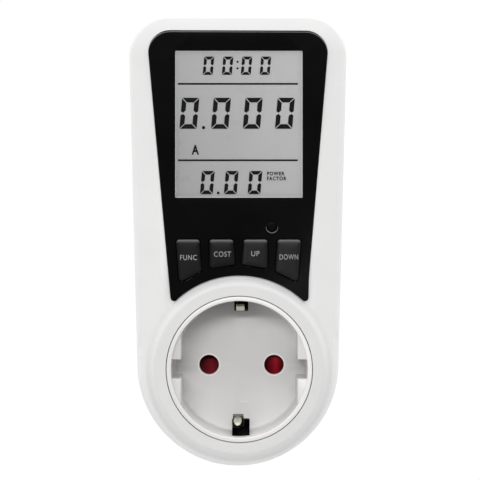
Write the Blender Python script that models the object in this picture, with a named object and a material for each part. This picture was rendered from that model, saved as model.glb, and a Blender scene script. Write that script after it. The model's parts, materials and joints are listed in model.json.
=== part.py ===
"""Plug-in power meter with a round earthed socket in front and a matching plug behind.

The meter is drawn lying on its back: x is to the right, y runs up the face and h is the
height above the plug's end face, towards the user. One empty then stands it up, so that
in the world +Z is up the face, -Y is towards the user and the plug's end face is at y = 0.
Lengths are in millimetres until they reach a mesh.
"""

import math

import bmesh
import bpy
from mathutils import Matrix

MM = 0.001
GAP = 0.3            # air left between neighbouring solids

# Levels, as heights above the plug's end face
H_BACK = 17.0        # flat back of the housing
H_PARTING = 41.0     # where the two shells meet
H_FACE = 52.5        # front face around the display
H_COLLAR = 55.0      # front of the socket collar and of the socket rim
RECESS = 17.5        # depth of the socket
WALL = 2.0

# Body outline: the hull of one large circle round the socket and two at the top corners
BODY_R = 29.2
CORNER_R = 12.0
CORNER_X = 19.55
CORNER_Y = 89.2
DRAFT = 1.0          # how much the front shell narrows from the parting line to its rim
SHOULDER = [(0.0, 49.3), (0.4, 50.0), (1.2, 50.6), (6.7, 52.3), (7.5, 52.5)]    # inset, height
BACK_FILLET = 2.5
BACK_DRAFT = 0.8
LIP_H = 1.6          # tongue of the rear shell inside the front one
LIP_T = 1.0

# Socket and plug, as the two-pole earthed 16 A system
PIN_X = 9.5
PIN_R = 2.4
PIN_LENGTH = 19.0
HOLE_R = 2.9
HOLE_CHAMFER = 0.35
CUP_R = 20.6
CUP_BORE = 19.3
CUP_FLAT_X = 16.5    # guide blocks stand between this and the bore
CUP_NOTCH = 2.7      # half width of the notch between guide blocks
CUP_FLANGE_R = 23.0
COLLAR_BASE_R = 26.2
COLLAR_TOP_R = 24.2
PLUG_R = 18.7
PLUG_FLAT_X = 16.2
PLUG_KEY = 2.4
PLUG_BORE = 15.6
EARTH_T = 0.7
EARTH_UPPER = {"strip": (-0.9, 1.5), "slot": (-1.5, 2.6)}    # spans along x
EARTH_LOWER = {"strip": (-1.85, 1.25), "slot": (-2.1, 3.0)}

# Display panel and what shows through it
PANEL_TOP = 96.0
PANEL_CORNER = 6.2
PANEL_HALF = 25.25       # half width at PANEL_HALF_Y
PANEL_HALF_Y = 88.0
PANEL_SLOPE = 0.0840     # growth of the half width per millimetre of y
PANEL_FOOT_R = 26.5      # the concave lower edge, round the socket axis
PANEL_FOOT_CORNER = 0.95
H_PANEL = 52.8
PANEL_T = 1.4
PANEL_LEDGE = 51.1       # floor of the recess that holds the panel
H_INNER = 48.8           # inner side of the face wall
WINDOW_X = 18.2
WINDOW_Y = (48.5, 90.2)
LENS_OVERLAP = 0.7
LENS_T = 0.65
PANEL_LIP = 0.45
LCD_X = 19.8
LCD_Y = (46.85, 91.85)

# Keys
KEY_TOP_Y = 36.6
KEY_FOOT_R = 29.6        # the keys' feet follow this circle round the socket axis
KEY_CORNER = 0.9
KEY_INNER_X = (1.5, 8.25)
KEY_OUTER_X = (11.05, 17.7)
KEY_LEAN = 0.08          # lean of the keys' sides, except the inner keys' outer sides
H_KEY = 53.9
KEY_CHAMFER = 0.6
KEY_FLANGE = 0.8
KEY_FLANGE_H = (47.6, 48.5)
RESET_AT = (9.4, 40.1)
RESET_R = 1.55
H_RESET = 52.0

# Boards and switches
BOARD_H = (43.0, 44.6)
BOARD_X = 20.0
SWITCH_SIDE = 4.6
SWITCH_H = (44.9, 46.6)
PLUNGER_R = 1.0
PLUNGER_H = (46.0, 47.3)
POWER_BOARD_H = (21.4, 23.0)
POWER_BOARD_X = 26.0
POWER_BOARD_Y = (33.5, 84.0)

# Shutter and contact carrier
SHUTTER_H = (30.7, 35.2)
SHUTTER_PAD_R = 3.6
CARRIER_R = 16.6
CARRIER_H = (21.5, 35.2)
CARRIER_FLOOR = 30.2
PIVOT_R = 1.5
BOSS_Y = 11.6

HOUSING_SCREWS = [(-23.3, 91.0), (23.3, 91.0), (-23.2, 27.0), (23.2, 27.0)]
WELL_H = 33.0
WELL_R = 2.9
BOARD_SCREWS = [(0.0, 95.2), (-9.4, 41.2)]
POWER_SCREWS = [(-21.0, 79.0), (21.0, 38.5)]


# ---------------------------------------------------------------- scene and materials

for old in list(bpy.data.objects):
    bpy.data.objects.remove(old)

METER = bpy.data.objects.new("meter", None)
bpy.context.scene.collection.objects.link(METER)
METER.rotation_euler = (math.pi / 2, 0, 0)


def material(name, colour, roughness, metallic=0.0, alpha=1.0):
    made = bpy.data.materials.new(name)
    made.use_nodes = True
    shader = made.node_tree.nodes["Principled BSDF"]
    shader.inputs["Base Color"].default_value = (*colour, 1.0)
    shader.inputs["Roughness"].default_value = roughness
    shader.inputs["Metallic"].default_value = metallic
    shader.inputs["Alpha"].default_value = alpha
    return made


WHITE = material("white_shell", (0.80, 0.80, 0.79), 0.38)
SOCKET_WHITE = material("socket_white", (0.76, 0.76, 0.74), 0.35)
BLACK = material("panel_black", (0.006, 0.006, 0.006), 0.16)
KEY_GREY = material("key_grey", (0.022, 0.022, 0.023), 0.45)
CLEAR = material("lens_clear", (0.9, 0.92, 0.92), 0.04, alpha=0.3)
LCD_GREY = material("lcd_grey", (0.42, 0.43, 0.42), 0.25)
RED = material("shutter_red", (0.30, 0.010, 0.018), 0.35)
NICKEL = material("nickel", (0.66, 0.63, 0.56), 0.25, metallic=1.0)
BRASS = material("brass", (0.72, 0.52, 0.22), 0.3, metallic=1.0)
STEEL = material("screw_steel", (0.55, 0.55, 0.56), 0.3, metallic=1.0)
CARRIER_IVORY = material("carrier_ivory", (0.62, 0.60, 0.52), 0.5)
BOARD_GREEN = material("board_green", (0.02, 0.16, 0.06), 0.4)
CHIP_BLACK = material("chip_black", (0.015, 0.015, 0.016), 0.5)
FRAME_WHITE = material("frame_white", (0.75, 0.76, 0.77), 0.5)
ZEBRA_GREY = material("zebra_grey", (0.20, 0.20, 0.22), 0.7)
FILM_YELLOW = material("film_yellow", (0.75, 0.50, 0.05), 0.45)
CAN_BLUE = material("can_blue", (0.03, 0.06, 0.22), 0.35)
DISC_BLUE = material("disc_blue", (0.04, 0.12, 0.42), 0.4)
CELL_GREEN = material("cell_green", (0.05, 0.30, 0.12), 0.4)
WIRE_BROWN = material("wire_brown", (0.16, 0.06, 0.03), 0.45)
WIRE_BLUE = material("wire_blue", (0.03, 0.10, 0.50), 0.45)


# ---------------------------------------------------------------- shape helpers

def finish_mesh(name, bm, paint, at=(0.0, 0.0, 0.0), sharp=30.0):
    """Turns a bmesh in millimetres into an object under the standing empty."""
    bmesh.ops.recalc_face_normals(bm, faces=bm.faces)
    bmesh.ops.transform(bm, matrix=Matrix.Scale(MM, 4), verts=bm.verts)
    mesh = bpy.data.meshes.new(name)
    bm.to_mesh(mesh)
    bm.free()
    mesh.shade_smooth()
    mesh.set_sharp_from_angle(angle=math.radians(sharp))
    made = bpy.data.objects.new(name, mesh)
    bpy.context.scene.collection.objects.link(made)
    if paint:
        mesh.materials.append(paint)
    made.parent = METER
    made.location = [MM * c for c in at]
    return made


def loft_into(bm, rings):
    """A closed solid through rings of points that hold the same number of points."""
    rows = [[bm.verts.new(p) for p in ring] for ring in rings]
    count = len(rows[0])
    for low, high in zip(rows, rows[1:]):
        for i in range(count):
            j = (i + 1) % count
            bm.faces.new((low[i], low[j], high[j], high[i]))
    bm.faces.new(rows[0][::-1])
    bm.faces.new(rows[-1])


def loft(name, rings, paint, at=(0, 0, 0)):
    bm = bmesh.new()
    loft_into(bm, rings)
    return finish_mesh(name, bm, paint, at)


def level(outline, height):
    return [(x, y, height) for x, y in outline]


def plate(name, outline, low, high, paint, at=(0, 0, 0)):
    return loft(name, [level(outline, low), level(outline, high)], paint, at)


def plates(name, outlines, low, high, paint=None):
    """Several separate plates in one mesh, used as one cutter."""
    bm = bmesh.new()
    for outline in outlines:
        loft_into(bm, [level(outline, low), level(outline, high)])
    return finish_mesh(name, bm, paint)


def circle(radius, count, centre=(0.0, 0.0), turn=0.0):
    return [
        (
            centre[0] + radius * math.cos(turn + 2 * math.pi * i / count),
            centre[1] + radius * math.sin(turn + 2 * math.pi * i / count),
        )
        for i in range(count)
    ]


def rectangle(x0, x1, y0, y1):
    return [(x0, y0), (x1, y0), (x1, y1), (x0, y1)]


def turned(name, profile, count, paint, at=(0, 0, 0), angle=2 * math.pi, start=0.0):
    """Spins a closed profile of (radius, height) points round the upright axis."""
    bm = bmesh.new()
    whole = abs(angle - 2 * math.pi) < 1e-6
    verts = [
        bm.verts.new((r * math.cos(start), r * math.sin(start), h)) for r, h in profile
    ]
    pairs = list(zip(verts, verts[1:] + verts[:1]))
    edges = [
        bm.edges.new(p) for p in pairs if p[0].co.xy.length > 1e-6 or p[1].co.xy.length > 1e-6
    ]
    if not whole:
        face = bm.faces.new(verts)
    geometry = verts + edges + ([] if whole else [face])
    bmesh.ops.spin(
        bm, geom=geometry, axis=(0, 0, 1), cent=(0, 0, 0), angle=angle, steps=count,
        use_duplicate=False, use_merge=False,
    )
    bmesh.ops.remove_doubles(bm, verts=bm.verts, dist=1e-4)
    return finish_mesh(name, bm, paint, at)


def barrel(name, profile, count, paint, at):
    """A round piece lying along x, through (x, radius) pairs."""
    angles = [2 * math.pi * i / count for i in range(count)]
    rings = [[(x, r * math.cos(a), r * math.sin(a)) for a in angles] for x, r in profile]
    return loft(name, rings, paint, at)


def cut(target, cutter, operation="DIFFERENCE"):
    """Takes the cutter's shape out of the target, or adds it, and hides the cutter."""
    step = target.modifiers.new(cutter.name, "BOOLEAN")
    step.operation = operation
    step.solver = "EXACT"
    step.object = cutter
    cutter.hide_render = True
    cutter.display_type = "WIRE"


def add(target, other):
    cut(target, other, "UNION")


def hull_outline(inset, bottom_count=44, corner_count=9):
    """The body outline moved inwards, anticlockwise from the right end of the large arc."""
    reach = math.hypot(CORNER_X, CORNER_Y)
    lean = math.atan2(CORNER_Y, CORNER_X) - math.acos((BODY_R - CORNER_R) / reach)
    arcs = [
        ((CORNER_X, CORNER_Y), CORNER_R - inset, lean, math.pi / 2, corner_count),
        ((-CORNER_X, CORNER_Y), CORNER_R - inset, math.pi / 2, math.pi - lean, corner_count),
        ((0, 0), BODY_R - inset, math.pi - lean, 2 * math.pi + lean, bottom_count),
    ]
    points = []
    for (cx, cy), radius, first, last, count in arcs:
        for i in range(count + 1):
            a = first + (last - first) * i / count
            points.append((cx + radius * math.cos(a), cy + radius * math.sin(a)))
    return points


def arc(centre, radius, first, last, count):
    """Points along an arc, both ends included."""
    return [
        (
            centre[0] + radius * math.cos(first + (last - first) * i / count),
            centre[1] + radius * math.sin(first + (last - first) * i / count),
        )
        for i in range(count + 1)
    ]


def panel_outline(grow=0.0):
    """The display panel: rounded top corners, tapering sides and a concave foot."""
    lean = math.atan(PANEL_SLOPE)
    side = (math.cos(lean), -math.sin(lean))       # outward normal of the right side
    reach = PANEL_HALF * side[0] + PANEL_HALF_Y * side[1] + grow
    top = PANEL_TOP + grow
    corner_r = PANEL_CORNER + grow
    cy = top - corner_r
    cx = (reach - corner_r - cy * side[1]) / side[0]
    foot_r = PANEL_FOOT_R - grow
    small = PANEL_FOOT_CORNER + grow
    ring = foot_r + small
    along = reach - small                          # distance of the foot corner's centre
    rise = math.sqrt(ring ** 2 - along ** 2)
    fx = along * side[0] - rise * side[1]
    fy = along * side[1] + rise * side[0]
    inward = math.atan2(fy, fx)
    right = arc((fx, fy), small, inward - math.pi, -lean, 6)
    right += arc((cx, cy), corner_r, -lean, math.pi / 2, 10)
    left = [(-x, y) for x, y in right[::-1]]
    foot = arc((0, 0), foot_r, math.pi - inward, inward, 20)[1:-1]
    return right + left + foot


def offset_polygon(points, distance):
    """Moves each edge of an anticlockwise polygon outwards."""
    moved = []
    count = len(points)
    for i in range(count):
        (ax, ay), (bx, by), (cx, cy) = points[i - 1], points[i], points[(i + 1) % count]
        one = math.atan2(by - ay, bx - ax) - math.pi / 2
        two = math.atan2(cy - by, cx - bx) - math.pi / 2
        middle = math.atan2(math.sin(one) + math.sin(two), math.cos(one) + math.cos(two))
        reach = distance / math.cos(middle - one)
        moved.append((bx + reach * math.cos(middle), by + reach * math.sin(middle)))
    return moved


def rounded(points, radius, count=3):
    """Rounds the corners of an anticlockwise convex polygon."""
    made = []
    inner = offset_polygon(points, -radius)
    for i, centre in enumerate(inner):
        (ax, ay), (bx, by), (cx, cy) = points[i - 1], points[i], points[(i + 1) % len(points)]
        one = math.atan2(by - ay, bx - ax) - math.pi / 2
        two = math.atan2(cy - by, cx - bx) - math.pi / 2
        while two < one:
            two += 2 * math.pi
        made += arc(centre, radius, one, two, count)
    return made


def key_polygon(inner_x, outer_x, outer_lean):
    """A key's corners on the right-hand side, anticlockwise: its foot follows a circle."""
    low_in = inner_x - KEY_LEAN * (KEY_TOP_Y - 28.5)
    low_out = outer_x - outer_lean * (KEY_TOP_Y - 25.0)
    foot_in = math.sqrt(KEY_FOOT_R ** 2 - low_in ** 2)
    foot_out = math.sqrt(KEY_FOOT_R ** 2 - low_out ** 2)
    return [(low_in, foot_in), (low_out, foot_out), (outer_x, KEY_TOP_Y), (inner_x, KEY_TOP_Y)]


def mirrored(points):
    return [(-x, y) for x, y in points[::-1]]


INNER_KEY = key_polygon(*KEY_INNER_X, outer_lean=0.0)
OUTER_KEY = key_polygon(*KEY_OUTER_X, outer_lean=KEY_LEAN)
KEYS = {
    "function": mirrored(OUTER_KEY),
    "cost": mirrored(INNER_KEY),
    "up": INNER_KEY,
    "down": OUTER_KEY,
}


def centre_of(points):
    return (
        sum(x for x, _ in points) / len(points),
        sum(y for _, y in points) / len(points),
    )


# ---------------------------------------------------------------- front shell

def front_housing():
    rings = [level(hull_outline(0), H_PARTING)]
    for inset, height in SHOULDER:
        rings.append(level(hull_outline(DRAFT + inset), height))
    shell = loft("front_housing", rings, WHITE)

    collar_foot = H_INNER + 0.6
    collar = turned(
        "collar_form",
        [(0, collar_foot), (COLLAR_BASE_R + 0.3, collar_foot), (COLLAR_BASE_R + 0.3, 50.4),
         (COLLAR_BASE_R, H_FACE - 0.6), (COLLAR_TOP_R + 0.9, H_COLLAR - 0.9),
         (COLLAR_TOP_R + 0.35, H_COLLAR - 0.25), (COLLAR_TOP_R - 0.4, H_COLLAR), (0, H_COLLAR)],
        80, None,
    )
    add(shell, collar)

    hollow = loft(
        "front_hollow",
        [level(hull_outline(WALL - 0.1), H_PARTING - 1),
         level(hull_outline(WALL + DRAFT), H_INNER)],
        None,
    )
    cut(shell, hollow)
    cut(shell, turned(
        "collar_hollow",
        [(0, H_PARTING + 5), (COLLAR_TOP_R - 0.2, H_PARTING + 5),
         (COLLAR_TOP_R - 0.2, H_COLLAR - WALL), (0, H_COLLAR - WALL)],
        56, None,
    ))
    cut(shell, plate("socket_opening", circle(CUP_R + GAP, 80), H_INNER, H_COLLAR + 1, None))
    cut(shell, plate("panel_recess", panel_outline(GAP), PANEL_LEDGE, H_COLLAR + 1, None))
    openings = [rectangle(-LCD_X - 0.4, LCD_X + 0.4, LCD_Y[0] - 0.4, LCD_Y[1] + 0.4)]
    for corners in KEYS.values():
        openings.append(rounded(offset_polygon(corners, 0.35), KEY_CORNER + 0.35))
    openings.append(circle(RESET_R + 0.35, 16, RESET_AT))
    cut(shell, plates("face_openings", openings, H_INNER - 1, PANEL_LEDGE + 0.5))

    posts = [circle(2.9, 14, at) for at in HOUSING_SCREWS]
    add(shell, plates("front_posts", posts, H_PARTING + 0.2, H_INNER + 0.5))
    pilots = [circle(1.6, 12, at) for at in HOUSING_SCREWS]
    cut(shell, plates("front_pilots", pilots, H_PARTING - 1, H_INNER - 1.3))
    board_posts = [circle(2.1, 12, at) for at in BOARD_SCREWS]
    add(shell, plates("board_posts", board_posts, BOARD_H[1] + GAP, H_INNER + 0.5))
    board_pilots = [circle(1.1, 10, at) for at in BOARD_SCREWS]
    cut(shell, plates("board_pilots", board_pilots, BOARD_H[1], H_INNER - 0.6))
    return shell


# ---------------------------------------------------------------- rear shell and plug

def plug_outline(shrink=0.0, segments=6):
    """The plug's cross-section: a circle with side flats and a narrow key on each flat."""
    radius, flat, key = PLUG_R - shrink, PLUG_FLAT_X - shrink, PLUG_KEY - shrink
    flat_angle = math.acos(flat / radius)
    key_angle = math.asin(key / radius)
    quarter = arc((0, 0), radius, -key_angle, key_angle, 2)
    quarter += [(flat, radius * math.sin(key_angle))]
    quarter += arc((0, 0), radius, flat_angle, math.pi - flat_angle, segments * 6)
    quarter += [(-flat, radius * math.sin(key_angle))]
    return quarter + [(-x, -y) for x, y in quarter]


def rear_housing():
    outer = []
    for a in (0.0, 22.5, 45.0, 67.5, 90.0):
        turn = math.radians(a)
        inset = BACK_DRAFT + BACK_FILLET * (1 - math.sin(turn))
        outer.append(level(hull_outline(inset), H_BACK + BACK_FILLET * (1 - math.cos(turn))))
    outer.append(level(hull_outline(0), H_PARTING - GAP))
    lip_out = WALL + GAP
    outer.append(level(hull_outline(lip_out), H_PARTING - GAP))
    outer.append(level(hull_outline(lip_out + 0.05), H_PARTING + LIP_H))
    shell = loft("rear_housing", outer, WHITE)
    hollow = loft(
        "rear_hollow",
        [level(hull_outline(BACK_DRAFT + WALL + 1.0), H_BACK + WALL),
         level(hull_outline(BACK_DRAFT + WALL), H_BACK + WALL + 2.0),
         level(hull_outline(lip_out + LIP_T), H_PARTING - 4.0),
         level(hull_outline(lip_out + LIP_T), H_PARTING + LIP_H + 1)],
        None,
    )
    cut(shell, hollow)
    add(shell, plate("plug_form", plug_outline(), 0, H_BACK + 1, None))
    cut(shell, plate("plug_hollow", circle(PLUG_BORE, 48), WALL, H_BACK + WALL + 1, None))

    posts = [circle(4.6, 16, at) for at in HOUSING_SCREWS]
    add(shell, plates("rear_posts", posts, H_BACK + 1, H_PARTING - GAP))
    wells = [circle(WELL_R, 16, at) for at in HOUSING_SCREWS]
    cut(shell, plates("screw_wells", wells, H_BACK - 1, WELL_H))
    bores = [circle(1.6, 12, at) for at in HOUSING_SCREWS]
    cut(shell, plates("screw_bores", bores, WELL_H - 1, H_PARTING + 3))
    power_posts = [circle(2.4, 12, at) for at in POWER_SCREWS]
    add(shell, plates("power_posts", power_posts, H_BACK + 1, POWER_BOARD_H[0] - GAP))
    power_pilots = [circle(1.1, 10, at) for at in POWER_SCREWS]
    cut(shell, plates("power_pilots", power_pilots, H_BACK + 1.6, POWER_BOARD_H[0]))

    pin_holes = [circle(PIN_R + GAP, 16, (s * PIN_X, 0)) for s in (-1, 1)]
    cut(shell, plates("pin_holes", pin_holes, -1, WALL + 1))
    upper, lower = EARTH_UPPER["strip"], EARTH_LOWER["strip"]
    channels = [rectangle(upper[0] - 0.4, upper[1] + 0.4, 17.3, 19.7)]
    channels.append(rectangle(lower[0] - 0.4, lower[1] + 0.4, -19.7, -17.3))
    cut(shell, plates("earth_channels", channels, 1.2, H_BACK + WALL + 1))
    return shell


def plug_pin(name, side):
    """A contact pin: rounded tip, shank, the flange inside the end wall and its tail."""
    tip = [
        (PIN_R * math.sin(a), -PIN_LENGTH + PIN_R * (1 - math.cos(a)))
        for a in (math.radians(d) for d in (0, 30, 60, 90))
    ]
    body = [(PIN_R, WALL + GAP), (3.8, WALL + GAP), (3.8, 3.8), (2.0, 3.8), (2.0, 16.6), (0, 16.6)]
    return turned(name, tip + body, 24, NICKEL, at=(side * PIN_X, 0, 0))


def pin_carrier():
    """The insulating disc inside the plug that holds both pins' tails."""
    disc = plate("pin_carrier", circle(PLUG_BORE - 0.5, 32), 4.1, 8.5, CARRIER_IVORY)
    holes = [circle(2.3, 14, (s * PIN_X, 0)) for s in (-1, 1)]
    cut(disc, plates("pin_carrier_holes", holes, 3, 10))
    return disc


# ---------------------------------------------------------------- socket

def socket_cup():
    floor = H_COLLAR - RECESS
    cup = turned(
        "socket_cup",
        [(0, floor - WALL), (CUP_R, floor - WALL), (CUP_R, 51.0), (CUP_FLANGE_R, 51.0),
         (CUP_FLANGE_R, 52.6), (CUP_R, 52.6), (CUP_R, H_COLLAR - 0.35), (CUP_R - 0.3, H_COLLAR),
         (CUP_BORE + 0.4, H_COLLAR), (CUP_BORE, H_COLLAR - 0.4), (CUP_BORE, floor), (0, floor)],
        80, SOCKET_WHITE,
    )
    blocks = []
    for sx, sy in ((1, 1), (-1, 1), (-1, -1), (1, -1)):
        inner = CUP_BORE + 0.6
        outer_y = math.sqrt(inner ** 2 - CUP_FLAT_X ** 2)
        first = math.asin(CUP_NOTCH / inner)
        last = math.asin(outer_y / inner)
        corners = [(CUP_FLAT_X, CUP_NOTCH)] + arc((0, 0), inner, first, last, 5)
        blocks.append([(sx * x, sy * y) for x, y in (corners if sx * sy > 0 else corners[::-1])])
    add(cup, plates("guide_blocks", blocks, floor - 0.5, H_COLLAR - 1.4))
    holes = [circle(HOLE_R, 32, (s * PIN_X, 0)) for s in (-1, 1)]
    cut(cup, plates("socket_holes", holes, floor - WALL - 1, floor + 1))
    bm = bmesh.new()
    for s in (-1, 1):
        mouth = []
        for grow, height in ((0, floor - HOLE_CHAMFER), (2 * HOLE_CHAMFER, floor + HOLE_CHAMFER)):
            mouth.append(level(circle(HOLE_R + grow, 32, (s * PIN_X, 0)), height))
        loft_into(bm, mouth)
    cut(cup, finish_mesh("socket_hole_chamfers", bm, None))
    slots = [rectangle(*EARTH_UPPER["slot"], 15.7, 21.2)]
    slots.append(rectangle(*EARTH_LOWER["slot"], -21.2, -15.7))
    cut(cup, plates("earth_slots", slots, floor - WALL - 1, H_COLLAR - 4.2))
    bosses = [circle(2.4, 14, (0, s * BOSS_Y)) for s in (-1, 1)]
    add(cup, plates("cup_bosses", bosses, CARRIER_FLOOR + GAP, floor - 1))
    pilots = [circle(1.2, 10, (0, s * BOSS_Y)) for s in (-1, 1)]
    cut(cup, plates("cup_pilots", pilots, CARRIER_FLOOR, floor - WALL - 0.3))
    return cup


def shutter():
    """The red rotor behind the socket floor. Each pad's ramp turns it when a pin pushes in."""
    low, high = SHUTTER_H
    middle = (low + high) / 2
    hub = circle(4.2, 20)
    rotor = plate("shutter", hub, low - middle, high - middle, RED, at=(0, 0, middle))
    bar = rectangle(-PIN_X, PIN_X, -2.4, 2.4)
    add(rotor, plates("shutter_bar", [bar], low, high - 0.6))
    pads = [circle(SHUTTER_PAD_R, 24, (s * PIN_X, 0)) for s in (-1, 1)]
    add(rotor, plates("shutter_pads", pads, low + 0.05, high - 0.05))
    bm = bmesh.new()
    reach = SHUTTER_PAD_R + 1
    for s in (-1, 1):
        ramp = [(-reach * s, low + 0.9), (reach * s, high + 0.2), (-reach * s, high + 4)]
        near, far = sorted((s * (PIN_X - 3.0), s * (PIN_X + 5.0)))
        loft_into(bm, [[(near, y, h) for y, h in ramp], [(far, y, h) for y, h in ramp]])
    cut(rotor, finish_mesh("shutter_ramps", bm, None))
    cut(rotor, plate("shutter_bore", circle(PIVOT_R + GAP, 16), low - 1, high + 1, None))
    return rotor


def shutter_spring():
    """The torsion spring round the pivot's foot, below the rotor."""
    curve = bpy.data.curves.new("shutter_spring", "CURVE")
    curve.dimensions = "3D"
    curve.bevel_depth = 0.3 * MM
    curve.bevel_resolution = 1
    curve.use_fill_caps = True
    turns, per_turn, radius = 2.5, 12, 3.6
    low, rise = 28.3, 0.68
    count = int(turns * per_turn)
    line = curve.splines.new("POLY")
    line.points.add(count)
    for i, point in enumerate(line.points):
        a = 2 * math.pi * i / per_turn
        height = low + rise * i / per_turn
        point.co = (radius * MM * math.cos(a), radius * MM * math.sin(a), height * MM, 1)
    spring = bpy.data.objects.new("shutter_spring", curve)
    bpy.context.scene.collection.objects.link(spring)
    curve.materials.append(STEEL)
    spring.parent = METER
    return spring


def contact_carrier():
    low, high = CARRIER_H
    block = plate("contact_carrier", circle(CARRIER_R, 44), low, high, CARRIER_IVORY)
    ring = turned(
        "rotor_space",
        [(PIVOT_R, CARRIER_FLOOR), (14.6, CARRIER_FLOOR), (14.6, high + 1), (PIVOT_R, high + 1)],
        36, None,
    )
    cut(block, ring)
    cut(block, plate("pivot_top", circle(PIVOT_R + 1, 16), 34.6, high + 2, None))
    spring_space = [(2.6, 27.6), (4.7, 27.6), (4.7, 31.0), (2.6, 31.0)]
    cut(block, turned("spring_space", spring_space, 20, None))
    cut(block, turned("spring_mouth", [(PIVOT_R, 30.0), (4.7, 30.0), (4.7, 31.0), (PIVOT_R, 31.0)],
                      20, None))
    channels = [rectangle(5.2, 13.8, -3.6, 3.6), rectangle(-13.8, -5.2, -3.6, 3.6)]
    cut(block, plates("contact_channels", channels, low - 1, 28.6))
    holes = [circle(3.0, 16, (s * PIN_X, 0)) for s in (-1, 1)]
    cut(block, plates("contact_holes", holes, 28, CARRIER_FLOOR + 1))
    seats = [circle(2.6, 14, (0, s * BOSS_Y)) for s in (-1, 1)]
    cut(block, plates("carrier_seats", seats, low - 1, low + 2.3))
    bores = [circle(1.2, 10, (0, s * BOSS_Y)) for s in (-1, 1)]
    cut(block, plates("carrier_bores", bores, low, CARRIER_FLOOR + 1))
    return block


def strip(name, centreline, thickness, across, span, paint):
    """A bent strip: a centreline of points thickened in its plane, swept along the third axis.

    across is 'x' when the line lies in the x-h plane and 'y' when it lies in the y-h plane.
    """
    left, right = [], []
    for i, (a, h) in enumerate(centreline):
        before = centreline[max(i - 1, 0)]
        after = centreline[min(i + 1, len(centreline) - 1)]
        da, dh = after[0] - before[0], after[1] - before[1]
        size = math.hypot(da, dh)
        if 0 < i < len(centreline) - 1:
            one = math.atan2(h - before[1], a - before[0])
            two = math.atan2(after[1] - h, after[0] - a)
            stretch = 1 / max(math.cos((two - one) / 2), 0.6)
        else:
            stretch = 1.0
        na, nh = -dh / size * thickness / 2 * stretch, da / size * thickness / 2 * stretch
        left.append((a + na, h + nh))
        right.append((a - na, h - nh))
    profile = left + right[::-1]
    if across == "x":
        rings = [[(a, s, h) for a, h in profile] for s in span]
    else:
        rings = [[(s, a, h) for a, h in profile] for s in span]
    return loft(name, rings, paint)


def live_contact(name, side):
    """A female contact: two spring leaves on a base, with a flared mouth."""
    low, high = 16.9, 28.0
    inner, t = 2.3, 0.7
    flare = [(0.35, low + 2.0), (0.0, high - 3.2), (0.2, high - 1.6), (0.9, high)]
    outside = [(inner + t + 0.35, low)] + [(inner + t + a, h) for a, h in flare]
    inside = [(inner + a, h) for a, h in flare[::-1]] + [(inner + 0.35, low + t)]
    right = outside + inside
    left = [(-a, h) for a, h in right[::-1]]
    profile = [(side * PIN_X + a, h) for a, h in right + left]
    return loft(name, [[(a, s, h) for a, h in profile] for s in (-2.5, 2.5)], BRASS)


# The earth springs' bowed ends inside the socket, as distance from the axis and height
UPPER_BOW = [(17.75, 39.0), (17.1, 41.0), (16.6, 43.0), (16.45, 44.4), (16.6, 45.8),
             (17.1, 47.4), (17.8, 49.0)]
LOWER_BOW = [(17.3, 38.6), (15.8, 40.8), (14.5, 42.9), (14.05, 44.4), (14.45, 45.9),
             (15.5, 47.6), (16.7, 49.2)]


def earth_contact(name, side, span, bow):
    """One strip from the plug's earth face to the bowed spring inside the socket."""
    line = [(17.95, 2.6), (18.25, 6.0), (18.25, 13.0), (17.95, 17.5), (17.95, 37.2)] + bow
    return strip(name, [(side * y, h) for y, h in line], EARTH_T, "y", span, NICKEL)


def earth_link():
    profile = [(18.8, 24.0), (19.6, 24.0), (19.6, 28.0), (18.8, 28.0)]
    return turned("earth_link", profile, 20, BRASS, angle=math.pi, start=math.pi / 2)


def shunt_resistor():
    line = [(11.85, 10.4), (14.4, 10.4), (14.4, 17.3), (13.2, 17.3)]
    return strip("shunt_resistor", line, 0.8, "x", (-1.5, 1.5), BRASS)


# ---------------------------------------------------------------- display and keys

def display_panel():
    panel = loft(
        "display_panel",
        [level(panel_outline(), H_PANEL - PANEL_T), level(panel_outline(), H_PANEL - 0.4),
         level(panel_outline(-0.15), H_PANEL - 0.1), level(panel_outline(-0.4), H_PANEL)],
        BLACK,
    )
    openings = [rectangle(-WINDOW_X, WINDOW_X, *WINDOW_Y)]
    for corners in KEYS.values():
        openings.append(rounded(offset_polygon(corners, 0.3), KEY_CORNER + 0.3))
    openings.append(circle(RESET_R + 0.3, 16, RESET_AT))
    cut(panel, plates("panel_openings", openings, H_PANEL - PANEL_T - 1, H_PANEL + 1))
    over = LENS_OVERLAP + GAP
    rebate = rectangle(-WINDOW_X - over, WINDOW_X + over, WINDOW_Y[0] - over, WINDOW_Y[1] + over)
    cut(panel, plate("lens_rebate", rebate, H_PANEL - PANEL_T - 1, H_PANEL - PANEL_LIP, None))
    return panel


def display_lens():
    over = LENS_OVERLAP
    outline = rectangle(-WINDOW_X - over, WINDOW_X + over, WINDOW_Y[0] - over, WINDOW_Y[1] + over)
    low = H_PANEL - PANEL_T
    return plate("display_lens", outline, low, low + LENS_T, CLEAR)


def lcd_stack():
    plate("lcd_cell", rectangle(-LCD_X, LCD_X, *LCD_Y), H_INNER - 0.2, PANEL_LEDGE - 0.2, LCD_GREY)
    frame_low, frame_high = BOARD_H[1] + GAP, H_INNER - 0.5
    frame = plate("lcd_frame", rectangle(-20, 20, 44.5, 92.7), frame_low, frame_high, FRAME_WHITE)
    slot = rectangle(-18.5, 18.5, 47.0, 49.6)
    cut(frame, plate("zebra_slot", slot, frame_low - 1, frame_high + 1, None))
    plate("zebra_strip", rectangle(-18.1, 18.1, 47.4, 49.2), frame_low, frame_high, ZEBRA_GREY)


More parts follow.
